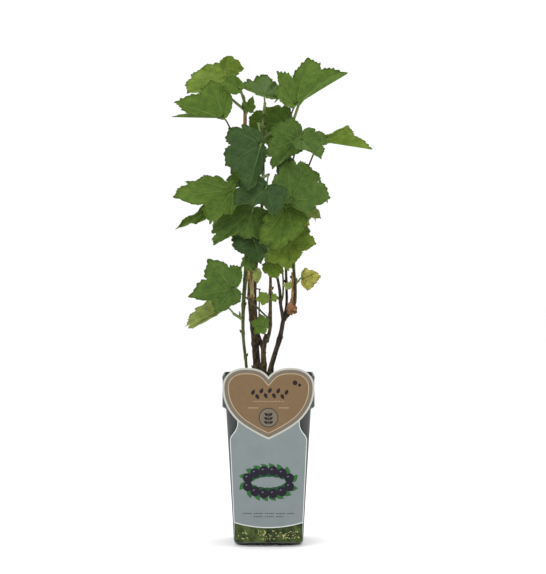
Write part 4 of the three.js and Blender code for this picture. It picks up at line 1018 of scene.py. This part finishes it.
def toothed_side(tip, end, bulge, teeth, chance):
    """From a lobe's tip down one side to end: the plain line and the same with teeth.
    The side bulges most near its end, which leaves the tip pointed, and the teeth lean to the tip."""
    shares = []
    heights = []
    limits = np.cumsum(np.concatenate([[0], chance.uniform(*TOOTH_WIDTHS, teeth)]))
    limits /= limits[-1]
    for low, high in zip(limits, limits[1:]):
        shares += [low, mix(low, high, TOOTH_TIP), mix(low, high, TOOTH_BACK)]
        tall = chance.uniform(*TOOTH_HEIGHTS)
        heights += [0, tall, tall * TOOTH_BACK_HEIGHT]
    shares = np.array(shares)
    chord = end - tip
    length = np.linalg.norm(chord)
    out = np.array([-chord[1], chord[0]]) / length
    if np.dot(out, tip + end) < 0:
        out = -out
    swell = bulge * np.sin(math.pi * shares) * (TIP_BULGE + 2 * (1 - TIP_BULGE) * shares)
    plain = tip + chord * shares[:, None] + out * swell[:, None]
    fade = np.minimum(1, TOOTH_FADE * np.minimum(shares + 0.06, 1.05 - shares))
    rise = TOOTH_HEIGHT * min(1, length / LONG_EDGE) * np.array(heights) * fade
    return plain, plain + out * rise[:, None]


def leaf_outline(leaf, teeth, chance):
    """The whole edge, from the notch at the stalk round all lobes: plain, and with teeth."""
    corners = edge_corners(leaf)
    last = len(corners) - 2
    sides = []
    for i, (start, end) in enumerate(zip(corners, corners[1:])):
        if i in (0, last):
            shares = np.arange(EAR_STEPS)[:, None] / EAR_STEPS
            chord = end - start
            out = np.array([-chord[1], chord[0]])
            side = start + chord * shares + out * EAR_BULGE * np.sin(math.pi * shares)
            sides.append((side, side))
            continue
        bulge = BASAL_BULGE if i in (1, last - 1) else leaf["bulge"]
        if i % 2 == 0:
            sides.append(toothed_side(start, end, bulge, teeth, chance))
        else:
            sides.append([line[::-1] for line in toothed_side(end, start, bulge, teeth, chance)])
    return [np.vstack(lines) for lines in zip(*sides)]


def vein_lines(plain, chance):
    """Veins in the flat pattern, as (points, widths): one up each lobe, with side veins."""
    turns, reaches = polar(plain)
    order = np.argsort(turns)
    veins = []
    for lobe, turn in enumerate(LOBE_TURNS):
        veins.append((pattern(turn, MAIN_VEIN), MAIN_VEIN_WIDTHS))
        for side, root in itertools.product((-1, 1), SIDE_VEINS):
            points = [pattern(turn, root + VEIN_STAGGER * side + chance.uniform(-VEIN_JITTER, VEIN_JITTER))]
            step = pattern(turn + side * SIDE_VEIN_TURN * (1.1 - 0.4 * root), 1)
            basal = side * (MIDDLE_LOBE - lobe) == MIDDLE_LOBE
            outer = (180 - LOBE_TURNS[0]) * BASAL_SPREAD if basal else LOBE_TURN / 2
            for _ in range(VEIN_STEPS):
                place = points[-1] + VEIN_STEP * unit(step + pattern(turn, 1) * VEIN_BEND * len(points))
                here = math.degrees(math.atan2(place[1], place[0]))
                edge = np.interp(here, turns[order], reaches[order])
                strayed = abs((here - turn + 180) % 360 - 180) > outer
                if strayed or np.hypot(*place) > VEIN_END * edge:
                    break
                points.append(place)
            if len(points) >= len(SIDE_VEIN_WIDTHS):
                picked = np.linspace(0, len(points) - 1, len(SIDE_VEIN_WIDTHS)).round().astype(int)
                veins.append((np.array(points)[picked], SIDE_VEIN_WIDTHS))
    return veins


def distance_to_veins(places, veins):
    """The distance of each place of the pattern to the nearest vein."""
    starts = np.vstack([points[:-1] for points, _ in veins])
    steps = np.vstack([np.diff(points, axis=0) for points, _ in veins])
    squares = np.maximum(np.sum(steps * steps, axis=1), 1e-9)
    apart = places[:, None, :] - starts[None, :, :]
    share = np.clip(np.sum(apart * steps, axis=-1) / squares, 0, 1)
    nearest = apart - share[..., None] * steps
    return np.sqrt(np.min(np.sum(nearest * nearest, axis=-1), axis=1))


def vertex_normals(vertices, faces):
    normals = np.zeros_like(vertices)
    for block in faces:
        corners = vertices[block]
        across = np.cross(corners[:, 2] - corners[:, 0], corners[:, -1] - corners[:, 1])
        for corner in range(block.shape[1]):
            np.add.at(normals, block[:, corner], across)
    return unit(normals)


def add_leaf(blades, ribs, leaf, kind, seed):
    """One fine leaf: its blade goes to blades and its veins to ribs."""
    chance = np.random.default_rng(seed)
    size = np.linalg.norm(leaf["lobes"][MIDDLE_LOBE])
    small = size < SMALL_LEAF
    rings = np.array(SMALL_RINGS if small else RINGS)
    plain, toothed = leaf_outline(leaf, SMALL_TEETH if small else TEETH, chance)
    spokes = len(plain)
    flat = np.vstack([[[0, 0]], (plain[None] * rings[:-1, None, None]).reshape(-1, 2), toothed])
    faces = [lattice_faces(len(rings), spokes) + 1, cap_faces(1, spokes, 0, False)]
    places = surface(leaf, flat)
    normals = vertex_normals(places, faces)
    way = 1 if np.sum(normals @ leaf["raised"]) > 0 else -1
    normals = normals * way

    veins = vein_lines(plain, chance)
    away = distance_to_veins(flat, veins)
    quilt = QUILT * size * (1 - np.exp(-((away / QUILT_WIDTH) ** 2)))
    reach = np.hypot(flat[:, 0], flat[:, 1])
    turn = np.arctan2(flat[:, 1], flat[:, 0])
    waves = np.sin(turn * WAVES + seed) + FINE_WAVE_HEIGHT * np.sin(turn * FINE_WAVES + seed * 1.7)
    rim = np.concatenate([[0], np.repeat(rings, spokes)])
    ruffle = RUFFLE * size * waves * rim**3 * np.clip(reach * 2, 0, 1)
    dents = Noise(seed)(places / (size * CRUMPLE_CELL))
    crumple = CRUMPLE.get(kind, 0) * size * dents * np.clip(reach * 2.5, 0, 1)
    places = places + normals * (quilt + ruffle + crumple)[:, None]
    normals = vertex_normals(places, faces) * way

    total = len(places)
    half = LEAF_THICKNESS / 2 * normals
    edge = 1 + (len(rings) - 1) * spokes + np.arange(spokes)
    ahead = np.roll(edge, -1)
    wall = np.stack([edge, edge + total, ahead + total, ahead], axis=1)[:, ::way]
    top = [block[:, ::way] for block in faces]
    bottom = [block[:, ::-way] + total for block in faces]
    under = kind if kind in SAME_UNDERSIDE else "under"
    # the outer band takes the rim tones and the edge wall the vein tone: painted highlight along the edge
    pale = rim + RIM_BLOTCH * Noise(seed + 7)(places / BLOTCH_CELL)
    kinds = []
    for block, name in zip([*top, *bottom], (kind, kind, under, under)):
        near_rim = np.mean(pale[block % total], axis=1) > RIM_START
        kinds.append(np.where(near_rim, f"rim_{name}", f"leaf_{name}"))
    blades.add(np.vstack([places + half, places - half]), [*top, *bottom, wall], [*kinds, f"vein_{kind}"])
    add_veins(ribs, veins, plain, rings, places, normals, (kind, under), size)


def add_veins(ribs, veins, plain, rings, places, normals, kinds, size):
    """Lays three-sided ribs on both sides of the blade, along lines of the flat pattern."""
    spokes = len(plain)
    turns, reaches = polar(plain)
    turns[0] = 180
    order = np.argsort(turns)
    ring_places = np.concatenate([[0], rings])

    def on_blade(points, values):
        """Values of the blade's lattice at places of the pattern."""
        turn, reach = polar(points)
        spoke = np.interp(turn, turns[order], order)
        edge = np.interp(turn, turns[order], reaches[order])
        ring = np.interp(reach / edge, ring_places, np.arange(len(ring_places)))
        column = np.minimum(np.floor(spoke).astype(int), spokes - 2)
        row = np.minimum(np.floor(ring).astype(int), len(rings) - 1)

        def on_ring(level):
            start = 1 + (level - 1) * spokes + column
            near, far = (values[np.where(level == 0, 0, start + i)] for i in (0, 1))
            return near * (1 - across) + far * across

        across = (spoke - column)[:, None]
        out = (ring - row)[:, None]
        return on_ring(row) * (1 - out) + on_ring(row + 1) * out

    thick = min(1, size / FULL_LEAF) ** 0.5
    for points, widths in veins:
        middle = on_blade(points, places)
        normal = unit(on_blade(points, normals))
        along = unit(np.gradient(middle, axis=0))
        side = unit(np.cross(normal, along)) * (widths * thick / 2)[:, None]
        height = LEAF_THICKNESS / 2 + VEIN_LIFT * thick * (0.4 + 0.6 * widths)
        last = 3 * (len(points) - 1)
        for way, kind in zip((1, -1), kinds):
            sunk = middle + way * normal * (LEAF_THICKNESS / 2 - VEIN_SINK)
            crest = middle + way * normal * height[:, None]
            rows = np.stack([sunk - side, crest, sunk + side], axis=1).reshape(-1, 3)
            ends = [np.array([[2, 1, 0]]), np.array([[last, last + 1, last + 2]])]
            faces = [block[:, ::-way] for block in (lattice_faces(len(points), 3), *ends)]
            ribs.add(rows, faces, f"vein_{kind}")


# The pieces of the crown, joined by region, each kind apart


def add_stalks(stalks, stem, radius, leaves, kind, seed):
    """A mass's stem and the stalks that fan out from it, with a bud where the stem leaves its limb."""
    root, beyond = stem
    out = unit(beyond - root)
    shares, places = even_steps(stem, STALK_STEP, 4)
    swell = 1 + STEM_FLARE * np.exp(-shares * 5) + STEM_GRIT * Noise(seed)(places / 3)
    add_tube(stalks, places, radius * swell, STALK_SIDES, kind)
    for leaf in leaves:
        shares, places = even_steps(stalk_line(beyond - out * STALK_RADIUS, leaf), STALK_STEP, 6)
        add_tube(stalks, places, STALK_RADIUS * np.interp(shares, *STALK_TAPER), STALK_SIDES, kind)
    bud_root = root + out * (radius + STEM_BUD_AT) + UP * radius
    add_bud(stalks, bud_root, unit(UP + out * 0.3), UP, kind)


def dress_region(region, masses):
    """Each mass gives its stem's line and radius, its leaves and their kinds."""
    blades, ribs, stalks = Shape(), Shape(), Shape()
    for number, (name, (stem, radius, leaves, kinds)) in enumerate(masses.items()):
        for i, (leaf, kind) in enumerate(zip(leaves, kinds)):
            add_leaf(blades, ribs, leaf, kind, 100 * (number + 1) + i)
        if name in DARK_STALKS:
            add_stalks(stalks, stem, radius * DARK_STEM_SHARE, leaves, "stalk_dark", number + 40)
        else:
            add_stalks(stalks, stem, radius, leaves, "stalk_green", number + 40)
    blades.make(f"leaf_blades_{region}", "foliage", list(masses))
    ribs.make(f"leaf_veins_{region}", "foliage")
    stalks.make(f"leaf_stalks_{region}", "young_wood")


def dressed_crown():
    for region, masses in CROWN.items():
        dressed = {}
        for name, (limb, height, hub, radius, kinds) in masses.items():
            leaves = [leaf_frame(leaf) for leaf in kinds]
            dressed[name] = [stem_line(limb, height, seen(hub)), radius, leaves, kinds.values()]
        dress_region(region, dressed)
    taken = taken_places()
    next_kinds = itertools.cycle(BACK_KINDS)
    dressed = {}
    for name, (limb, height, hub, *rule) in BACK_MASSES.items():
        hub = np.array(hub, float)
        leaves = grow(hub, *rule, taken)
        kinds = [next(next_kinds) for _ in leaves]
        dressed[name] = [stem_line(limb, height, hub), STEM_RADIUS, leaves, kinds]
    dress_region("back", dressed)


# Pot


def rounded_square(half, corner, z):
    ring = []
    for side in range(4):
        middle = math.pi / 4 + side * math.pi / 2
        centre = np.sign([math.cos(middle), math.sin(middle)]) * (half - corner)
        for step in range(CORNER_STEPS + 1):
            angle = middle - math.pi / 4 + step / CORNER_STEPS * math.pi / 2
            ring.append([centre[0] + corner * math.cos(angle), centre[1] + corner * math.sin(angle), z])
    return np.array(ring)


def wall_half(z):
    return POT_FOOT_HALF + (POT_WALL_TOP_HALF - POT_FOOT_HALF) * z / COLLAR_FOOT


def lofted(levels):
    """A closed skin through rounded squares given as (height, half width, corner)."""
    rings = [rounded_square(half, corner, z) for z, half, corner in levels]
    return add_skin(Shape(), rings, [rings[0].mean(axis=0), rings[-1].mean(axis=0)], "pot_plastic")


def add_box(shape, x, y, z, kind):
    """A block given by its lowest and highest values on each axis."""
    corners = [[x[i], y[j], z[k]] for k in (0, 1) for i, j in ((0, 0), (1, 0), (1, 1), (0, 1))]
    faces = [[0, 3, 2, 1], [4, 5, 6, 7], [0, 1, 5, 4], [1, 2, 6, 5], [2, 3, 7, 6], [3, 0, 4, 7]]
    return shape.add(corners, [np.array(faces)], kind)


def drum(radius, low, high, x=0, y=0):
    places = np.array([[x, y, mix(low, high, share)] for share in (0, 0.5, 1)])
    return add_tube(Shape(), places, [radius] * 3, DRUM_SIDES, "pot_plastic")


def cut_or_join(target, shape, operation):
    """Applies one boolean to target."""
    tool = shape.plain("tool")
    modifier = target.modifiers.new("join", "BOOLEAN")
    modifier.operation = operation
    modifier.solver = "EXACT"
    modifier.object = tool
    bpy.context.view_layer.update()
    evaluated = target.evaluated_get(bpy.context.evaluated_depsgraph_get())
    mesh = bpy.data.meshes.new_from_object(evaluated)
    target.modifiers.clear()
    target.data = mesh
    bpy.data.objects.remove(tool)


def pot_levels():
    """The pot's skin as (height, half width, corner), from the rounded foot up outside and down inside."""
    levels = []
    for turn in np.radians(np.linspace(0, 90, FOOT_STEPS)):
        z = FOOT_ROUND_HEIGHT * (1 - math.cos(turn))
        levels.append((z, wall_half(z) - FOOT_ROUND_BACK * (1 - math.sin(turn)), POT_CORNER))
    inner_corner = POT_CORNER - POT_WALL
    inner_half = COLLAR_HALF - POT_WALL
    return levels + [
        (COLLAR_FOOT - 1.2, wall_half(COLLAR_FOOT - 1.2), POT_CORNER),
        (COLLAR_FOOT, POT_WALL_TOP_HALF + 0.5, POT_CORNER),
        (COLLAR_FOOT + COLLAR_LEDGE - 0.5, COLLAR_HALF - 0.5, POT_CORNER),
        (COLLAR_FOOT + COLLAR_LEDGE + 0.6, COLLAR_HALF, POT_CORNER),
        (POT_HEIGHT - 4.5, COLLAR_HALF - 0.35, POT_CORNER),
        (POT_HEIGHT - 3.8, COLLAR_HALF, POT_CORNER),
        (POT_HEIGHT - LIP, COLLAR_HALF, POT_CORNER),
        (POT_HEIGHT - 0.2, COLLAR_HALF - 0.2, POT_CORNER - 0.2),
        (POT_HEIGHT, COLLAR_HALF - LIP, POT_CORNER - LIP),
        (POT_HEIGHT, inner_half + 0.4, inner_corner + 0.4),
        (POT_HEIGHT - 0.4, inner_half, inner_corner),
        (COLLAR_FOOT + COLLAR_LEDGE, inner_half, inner_corner),
        (COLLAR_FOOT, POT_WALL_TOP_HALF - POT_WALL, inner_corner),
        (FLOOR_TOP, wall_half(FOOT_HEIGHT) - POT_WALL, inner_corner),
    ]


def dressed_pot():
    pot = lofted(pot_levels()).plain("pot_body")
    cuts = [lofted([(z, UNDER_HALF, POT_CORNER - 2 * POT_WALL) for z in (-1, FOOT_HEIGHT)])]
    reach = 2 * POT_FOOT_HALF
    for x, y in ((FOOT_NOTCH_HALF, reach), (reach, FOOT_NOTCH_HALF)):
        cuts.append(add_box(Shape(), (-x, x), (-y, y), (-1, FOOT_HEIGHT - CLEARANCE), "pot_plastic"))
    for x, y in itertools.product((-DRAIN_OFFSET, DRAIN_OFFSET), repeat=2):
        cuts.append(drum(DRAIN_RADIUS, -1, FLOOR_TOP + 1, x, y))
    for cut in cuts:
        cut_or_join(pot, cut, "DIFFERENCE")
    cut_or_join(pot, drum(CENTRE_PAD_RADIUS, 0, FOOT_HEIGHT + 1), "UNION")
    pot.data.materials.clear()
    pot.data.materials.append(MATERIALS["pot_plastic"])
    pot.data.polygons.foreach_set("use_smooth", [True] * len(pot.data.polygons))
    pot.data.set_sharp_from_angle(angle=SHARP_ANGLE)
    hand_over(pot, ["pot"])


# Compost


def compost_bumps(places, noise):
    flat = places * np.array([1, 1, 0])
    return sum(height * noise(flat / width + shift) for height, width, shift in BUMPS)


def dressed_compost():
    noise = Noise(COMPOST_SEED)
    inset = POT_WALL + CLEARANCE
    bottom = FLOOR_TOP + CLEARANCE
    corner = POT_CORNER - inset
    half = COLLAR_HALF - inset
    levels = [(bottom, wall_half(bottom) - inset), (COLLAR_FOOT, POT_WALL_TOP_HALF - inset),
              (COLLAR_FOOT + COLLAR_LEDGE, half), (COMPOST_TOP - 3, half)]
    rings = [rounded_square(size, corner, z) for z, size in levels]
    edge = rounded_square(half, corner, COMPOST_TOP)
    for step in range(COMPOST_RINGS):
        ring = edge * np.array([1 - step / COMPOST_RINGS] * 2 + [1])
        ring[:, 2] += compost_bumps(ring, noise) - COMPOST_SINK
        rings.append(ring)
    shape = add_skin(Shape(), rings, [[0, 0, bottom], [0, 0, COMPOST_TOP]], "compost_soil")
    add_crumbs(shape, half - 3, noise)
    shape.make("compost_surface", "compost", ["compost"])


def add_crumbs(shape, reach, noise):
    """Rough lumps and short fibres, lying half sunk in the surface."""
    chance = np.random.default_rng(CRUMB_SEED)
    lump = np.array([[1, 0, 0], [0, 1, 0], [-1, 0, 0], [0, -1, 0], [0, 0, 1], [0, 0, -1]], float)
    sides = [[0, 1, 4], [1, 2, 4], [2, 3, 4], [3, 0, 4], [1, 0, 5], [2, 1, 5], [3, 2, 5], [0, 3, 5]]

    def spot(above):
        place = np.array([*chance.uniform(-reach, reach, 2), 0])
        place[2] = COMPOST_TOP + compost_bumps(place[None], noise)[0] + above
        return place

    for _ in range(CRUMBS):
        place = spot(-COMPOST_SINK)
        size = chance.uniform(0.4, 1) ** 2 * CRUMB_SIZE
        axes, _ = np.linalg.qr(chance.normal(size=(3, 3)))
        stretched = lump * chance.uniform(0.6, 1.3, (6, 1)) * size * np.array([1, 0.8, 0.6])
        kind = "compost_bark" if chance.random() < BARK_CRUMBS else "compost_peat"
        shape.add(place + stretched @ axes, [sides], kind)
    for _ in range(FIBRES):
        place = spot(FIBRE_LIFT)
        turn = chance.uniform(0, 2 * math.pi)
        along = np.array([math.cos(turn), math.sin(turn), chance.uniform(-0.05, 0.2)])
        bend = np.array([-along[1], along[0], 0.1]) * chance.uniform(-1.2, 1.2)
        half = along * chance.uniform(*FIBRE_LENGTHS) / 2
        line = curve_points([place - half, place + bend, place + half], np.linspace(0, 1, 6))
        add_tube(shape, line, [FIBRE_RADIUS] * 6, 5, "compost_fibre")


# Label card: a plain design in thin raised layers


def curves(start, *spans):
    """A line of Bezier curves from start, each with two handles and an end."""
    t = np.arange(1, BEZIER_STEPS + 1)[:, None] / BEZIER_STEPS
    places = [np.array([start], float)]
    for span in spans:
        a, b, c, d = (np.array(place, float) for place in (start, *span))
        places.append(a * (1 - t) ** 3 + b * 3 * t * (1 - t) ** 2 + c * 3 * t**2 * (1 - t) + d * t**3)
        start = span[2]
    return np.vstack(places)


def mirrored(half_outline):
    """A whole outline from its right half, listed from the top middle down to the bottom middle."""
    left = half_outline[::-1] * np.array([-1, 1])
    on_middle = np.abs(left[:, 0]) < 1e-6
    return np.vstack([half_outline, left[~on_middle]])


def from_heart_top(*spans):
    """The right half of the heart's edge from its notch round the lobe to the waist, then more spans."""
    lobe = HEART_HALF_WIDTH / 2
    return curves(
        (0, HEART_NOTCH),
        ((lobe * 0.3, CARD_TOP), (lobe * 0.75, CARD_TOP), (lobe * 1.02, CARD_TOP)),
        ((lobe * 1.62, CARD_TOP), (HEART_HALF_WIDTH, CARD_TOP - 9), (HEART_HALF_WIDTH, HEART_WIDEST)),
        ((HEART_HALF_WIDTH, HEART_WIDEST - 16), (CARD_WAIST_HALF + 9, CARD_WAIST + 9),
         (CARD_WAIST_HALF, CARD_WAIST)),
        *spans,
    )


def card_corner():
    """The card's rounded lower corner on the right."""
    side = np.array([CARD_FOOT_HALF, CARD_FOOT + CARD_CORNER])
    corner = np.array([CARD_FOOT_HALF, CARD_FOOT])
    foot = np.array([CARD_FOOT_HALF - CARD_CORNER, CARD_FOOT])
    return curves(side, (mix(side, corner, 2 / 3), mix(foot, corner, 2 / 3), foot))


def card_outline():
    shoulder = (SHOULDER_HALF, SHOULDER_HEIGHT)
    waist = ((CARD_WAIST_HALF - 1, CARD_WAIST - 12), (SHOULDER_HALF, SHOULDER_HEIGHT + 7), shoulder)
    return mirrored(np.vstack([from_heart_top(waist), card_corner()]))


def inset(outline, distance):
    """Moves an outline inwards; it is listed clockwise as seen from the front."""
    before = unit(outline - np.roll(outline, 1, axis=0))
    after = unit(np.roll(outline, -1, axis=0) - outline)
    along = unit(before + after)
    inwards = np.stack([along[:, 1], -along[:, 0]], axis=1)
    lean = np.maximum(np.sum(along * after, axis=1), 0.45)
    return outline + inwards * (distance / lean)[:, None]


def add_plate(shape, outline, back, front, kind):
    """A flat plate of an outline in [across, up], between two depths."""
    faces = []
    for a, b, c in tessellate_polygon([[Vector((x, z, 0)) for x, z in outline]]):
        side = outline[b] - outline[a]
        other = outline[c] - outline[a]
        turn = side[0] * other[1] - side[1] * other[0]
        if abs(turn) > 1e-9:
            faces.append([a, b, c] if turn > 0 else [a, c, b])
    faces = np.array(faces)
    vertices = np.vstack([np.insert(outline, 1, depth, axis=1) for depth in (front, back)])
    count = len(outline)
    here = np.arange(count)
    ahead = np.roll(here, -1)
    wall = np.stack([here, here + count, ahead + count, ahead], axis=1)
    x, z = outline.T
    area = np.sum(x * np.roll(z, -1) - np.roll(x, -1) * z)
    shape.add(vertices, [faces, faces[:, ::-1] + count, wall if area > 0 else wall[:, ::-1]], kind)


def placed(outline, x, z, degrees):
    """Turns a small outline and moves it to its place on the card."""
    lean = math.radians(degrees)
    spin = np.array([[math.cos(lean), math.sin(lean)], [-math.sin(lean), math.cos(lean)]])
    return np.array([x, z]) + outline @ spin


def ellipse(x, z, across, up, steps, degrees=0):
    angles = round_angles(steps)
    return placed(np.column_stack([np.cos(angles) * across, np.sin(angles) * up]), x, z, degrees)


def leaf_mark(x, z, length, degrees):
    """A pointed leaf drawn from its stalk end."""
    shares = np.linspace(0, 1, 9)
    upper = np.column_stack([shares * length, 0.3 * length * np.sin(math.pi * shares**0.8)])
    lower = upper[-2:0:-1] * np.array([1, -1])
    return placed(np.vstack([upper, lower]), x, z, degrees)


def bar(left, right, low, high):
    return np.array([[left, low], [right, low], [right, high], [left, high]], float)


def foot_arc(offset):
    """The body's lower edge, a shallow arc, from right to left."""
    x = np.linspace(1, -1, 25)
    drop = (FOOT_ARC_SIDE - FOOT_ARC_MIDDLE) * (1 - x * x)
    z = FOOT_ARC_SIDE - drop + offset
    share = (SHOULDER_HEIGHT - z) / (SHOULDER_HEIGHT - CARD_FOOT)
    return np.column_stack([x * (mix(SHOULDER_HALF, CARD_FOOT_HALF, share) - 0.7), z])


def inset_foot(distance):
    """The card's lower edge from left to right, a distance inside it."""
    right = card_corner() + np.array([-distance, distance])
    return np.vstack([right * np.array([-1, 1]), right[::-1]])


def dressed_card():
    shape = Shape()

    def layer(outline, level, kind):
        add_plate(shape, outline, CARD_FRONT + 0.2, CARD_FRONT - level * LAYER, f"card_{kind}")

    outline = card_outline()
    add_plate(shape, outline, CARD_FRONT + CARD_THICKNESS, CARD_FRONT, "card_white")
    layer(inset(outline, 0.8), 1, "body")
    heart = mirrored(from_heart_top(((25, 128), (7, 119), (0, HEART_TIP))))
    for distance, level, kind in ((0.1, 2, "border"), (2, 3, "band"), (5.8, 4, "line"), (6.7, 5, "kraft")):
        layer(inset(heart, distance), level, kind)
    add_strip(layer)
    add_heart_marks(layer)
    add_wreath(layer)
    for z, half in GREY_ROWS:
        for i, x in enumerate(np.arange(-half, half + 0.1, 2)):
            if i % 6 != 5:
                layer(ellipse(x, z, 0.8, 0.5, 8), 2, "grey")
    add_tongues(shape)
    card = shape.make("label_card_print", "label_card", ["label_card"])
    card.data.set_sharp_from_angle(angle=SHARP_ANGLE)


def add_strip(layer):
    """A green strip at the foot with scattered cream dots, each on a level of its own."""
    layer(np.vstack([foot_arc(-0.6), inset_foot(0.15)]), 2, "strip_edge")
    layer(np.vstack([foot_arc(-0.9), inset_foot(0.7)]), 3, "strip")
    layer(np.vstack([foot_arc(0.1), foot_arc(-0.9)[::-1]]), 4, "white")
    chance = np.random.default_rng(CREAM_SEED)
    for i in range(CREAM_DOTS):
        x = chance.choice(CREAM_CLUSTERS) + chance.normal(0, 4)
        z = chance.uniform(CARD_FOOT + 3, FOOT_ARC_MIDDLE - 3)
        if abs(x) < CARD_FOOT_HALF - 2:
            across = chance.uniform(0.4, 0.9)
            layer(ellipse(x, z, across, chance.uniform(0.3, 0.7), 8), 4 + 0.02 * i, "cream")


def add_heart_marks(layer):
    """A garland of plain leaves, a row of dots, a roundel with one sprig and two spots."""
    for i, x in enumerate(np.linspace(-18, 18, 9)):
        layer(leaf_mark(x, 166 - 0.006 * x * x, 6.6, 62 if i % 2 == 0 else -62), 6, "ink")
    for x in np.linspace(-16, 16, 17):
        layer(ellipse(x, 157, 0.5, 0.5, 10), 6, "line")
    for side in (-1, 1):
        layer(bar(side * 11, side * 22, 150.3, 149.7), 6, "line")
    layer(ellipse(0, ROUNDEL_HEIGHT, 10.5, 10.5, 40), 6, "grey")
    layer(ellipse(0, ROUNDEL_HEIGHT, 9.6, 9.6, 40), 7, "band")
    layer(bar(-0.4, 0.4, 132.5, 145), 8, "ink")
    for z, turn in ((133.5, 24), (137.5, 30), (141.5, 40)):
        layer(leaf_mark(0.6, z, 5, turn), 8, "ink")
        layer(leaf_mark(-0.6, z, 5, 180 - turn), 8, "ink")
    for x, z, radius in ((28.5, 177, 2.6), (33.5, 174.5, 1.7)):
        layer(ellipse(x, z, radius, radius, 20), 6, "ink")


def oval_places(count, start):
    """Evenly spaced places round the wreath's oval, with the heading at each."""
    angles = np.linspace(0, 2 * math.pi, 721)
    oval = np.column_stack([WREATH_ACROSS * np.cos(angles), WREATH_UP * np.sin(angles)])
    run = np.concatenate([[0], np.cumsum(np.linalg.norm(np.diff(oval, axis=0), axis=1))])
    for i in range(count):
        angle = np.interp((i + start) / count * run[-1], run, angles)
        ahead = math.degrees(math.atan2(WREATH_UP * math.cos(angle), -WREATH_ACROSS * math.sin(angle)))
        yield i, WREATH_ACROSS * math.cos(angle), WREATH_HEIGHT + WREATH_UP * math.sin(angle), ahead


def add_wreath(layer):
    """A wreath of leaves and dark fruit round an oval, on levels that keep neighbours apart."""
    for i, x, z, ahead in oval_places(WREATH_LEAVES, 0):
        level = 0.25 * (i % 4)
        layer(leaf_mark(x, z, 12, ahead + 38), 2 + level, "leaf")
        layer(leaf_mark(x, z, 11, ahead - 42), 3 + level, "leaf_light")
    for i, x, z, _ in oval_places(WREATH_BERRIES, 0.5):
        level = 4 + 1.2 * (i % 2)
        layer(ellipse(x, z, BERRY_RADIUS, BERRY_RADIUS, 24), level, "berry")
        layer(ellipse(x - 1.4, z + 1.6, 1, 0.7, 12, 30), level + 0.6, "shine")


def add_tongues(shape):
    """Two tongues that hang the card over the pot's rim, each of a part across and a part down."""
    inside = -(COLLAR_HALF - POT_WALL - CLEARANCE)
    back = inside + CARD_THICKNESS
    over = POT_HEIGHT + CLEARANCE
    top = over + CARD_THICKNESS
    for x in (-TONGUE_OFFSET, TONGUE_OFFSET):
        span = (x - TONGUE_HALF, x + TONGUE_HALF)
        add_box(shape, span, (CARD_FRONT + 0.5, back), (over, top), "card_white")
        add_box(shape, span, (inside, back), (top - TONGUE_DEPTH, over + 0.5), "card_white")


# Stage, light and camera


def stage_floor():
    mesh = bpy.data.meshes.new("floor")
    half = FLOOR_HALF
    corners = [(-half, -half, 0), (half, -half, 0), (half, half, 0), (-half, half, 0)]
    mesh.from_pydata(corners, [], [(0, 1, 2, 3)])
    paint = bpy.data.materials.new("floor_paint")
    paint.use_nodes = True
    shader = paint.node_tree.nodes["Principled BSDF"]
    shader.inputs["Base Color"].default_value = FLOOR_PAINT
    shader.inputs["Roughness"].default_value = 0.9
    mesh.materials.append(paint)
    linked("floor", mesh)


def lights():
    world = bpy.data.worlds.new("studio")
    world.use_nodes = True
    background = world.node_tree.nodes["Background"]
    background.inputs["Color"].default_value = (1, 1, 1, 1)
    background.inputs["Strength"].default_value = SKY_STRENGTH
    bpy.context.scene.world = world
    for name, place, power, size in LAMPS:
        light = bpy.data.lights.new(name, "AREA")
        light.energy = power
        light.size = size
        lamp = linked(name, light)
        lamp.location = place
        aim = Vector(LAMP_AIM) - Vector(place)
        lamp.rotation_euler = aim.to_track_quat("-Z", "Y").to_euler()


def camera():
    lens = bpy.data.cameras.new("camera")
    lens.sensor_fit = "VERTICAL"
    lens.sensor_height = SENSOR_HEIGHT
    lens.lens = SENSOR_HEIGHT * EYE_DISTANCE / (PHOTO_HEIGHT * MM_PER_PIXEL)
    lens.shift_x = (PHOTO_WIDTH / 2 - PLANT_COLUMN) / PHOTO_HEIGHT
    eye_row = GROUND_ROW - EYE_HEIGHT / MM_PER_PIXEL
    lens.shift_y = -(PHOTO_HEIGHT / 2 - eye_row) / PHOTO_HEIGHT
    lens.clip_end = 100
    made = linked("camera", lens)
    made.location = (0, -EYE_DISTANCE * MM, EYE_HEIGHT * MM)
    made.rotation_euler = (math.pi / 2, 0, 0)
    bpy.context.scene.camera = made
    bpy.context.scene.view_settings.view_transform = "Standard"


make_materials()
stage_floor()
lights()
camera()
dressed_pot()
dressed_compost()
dressed_card()
for number, name in enumerate(LIMBS):
    dressed_limb(name, number + 1)
dead_twig()
dressed_crown()
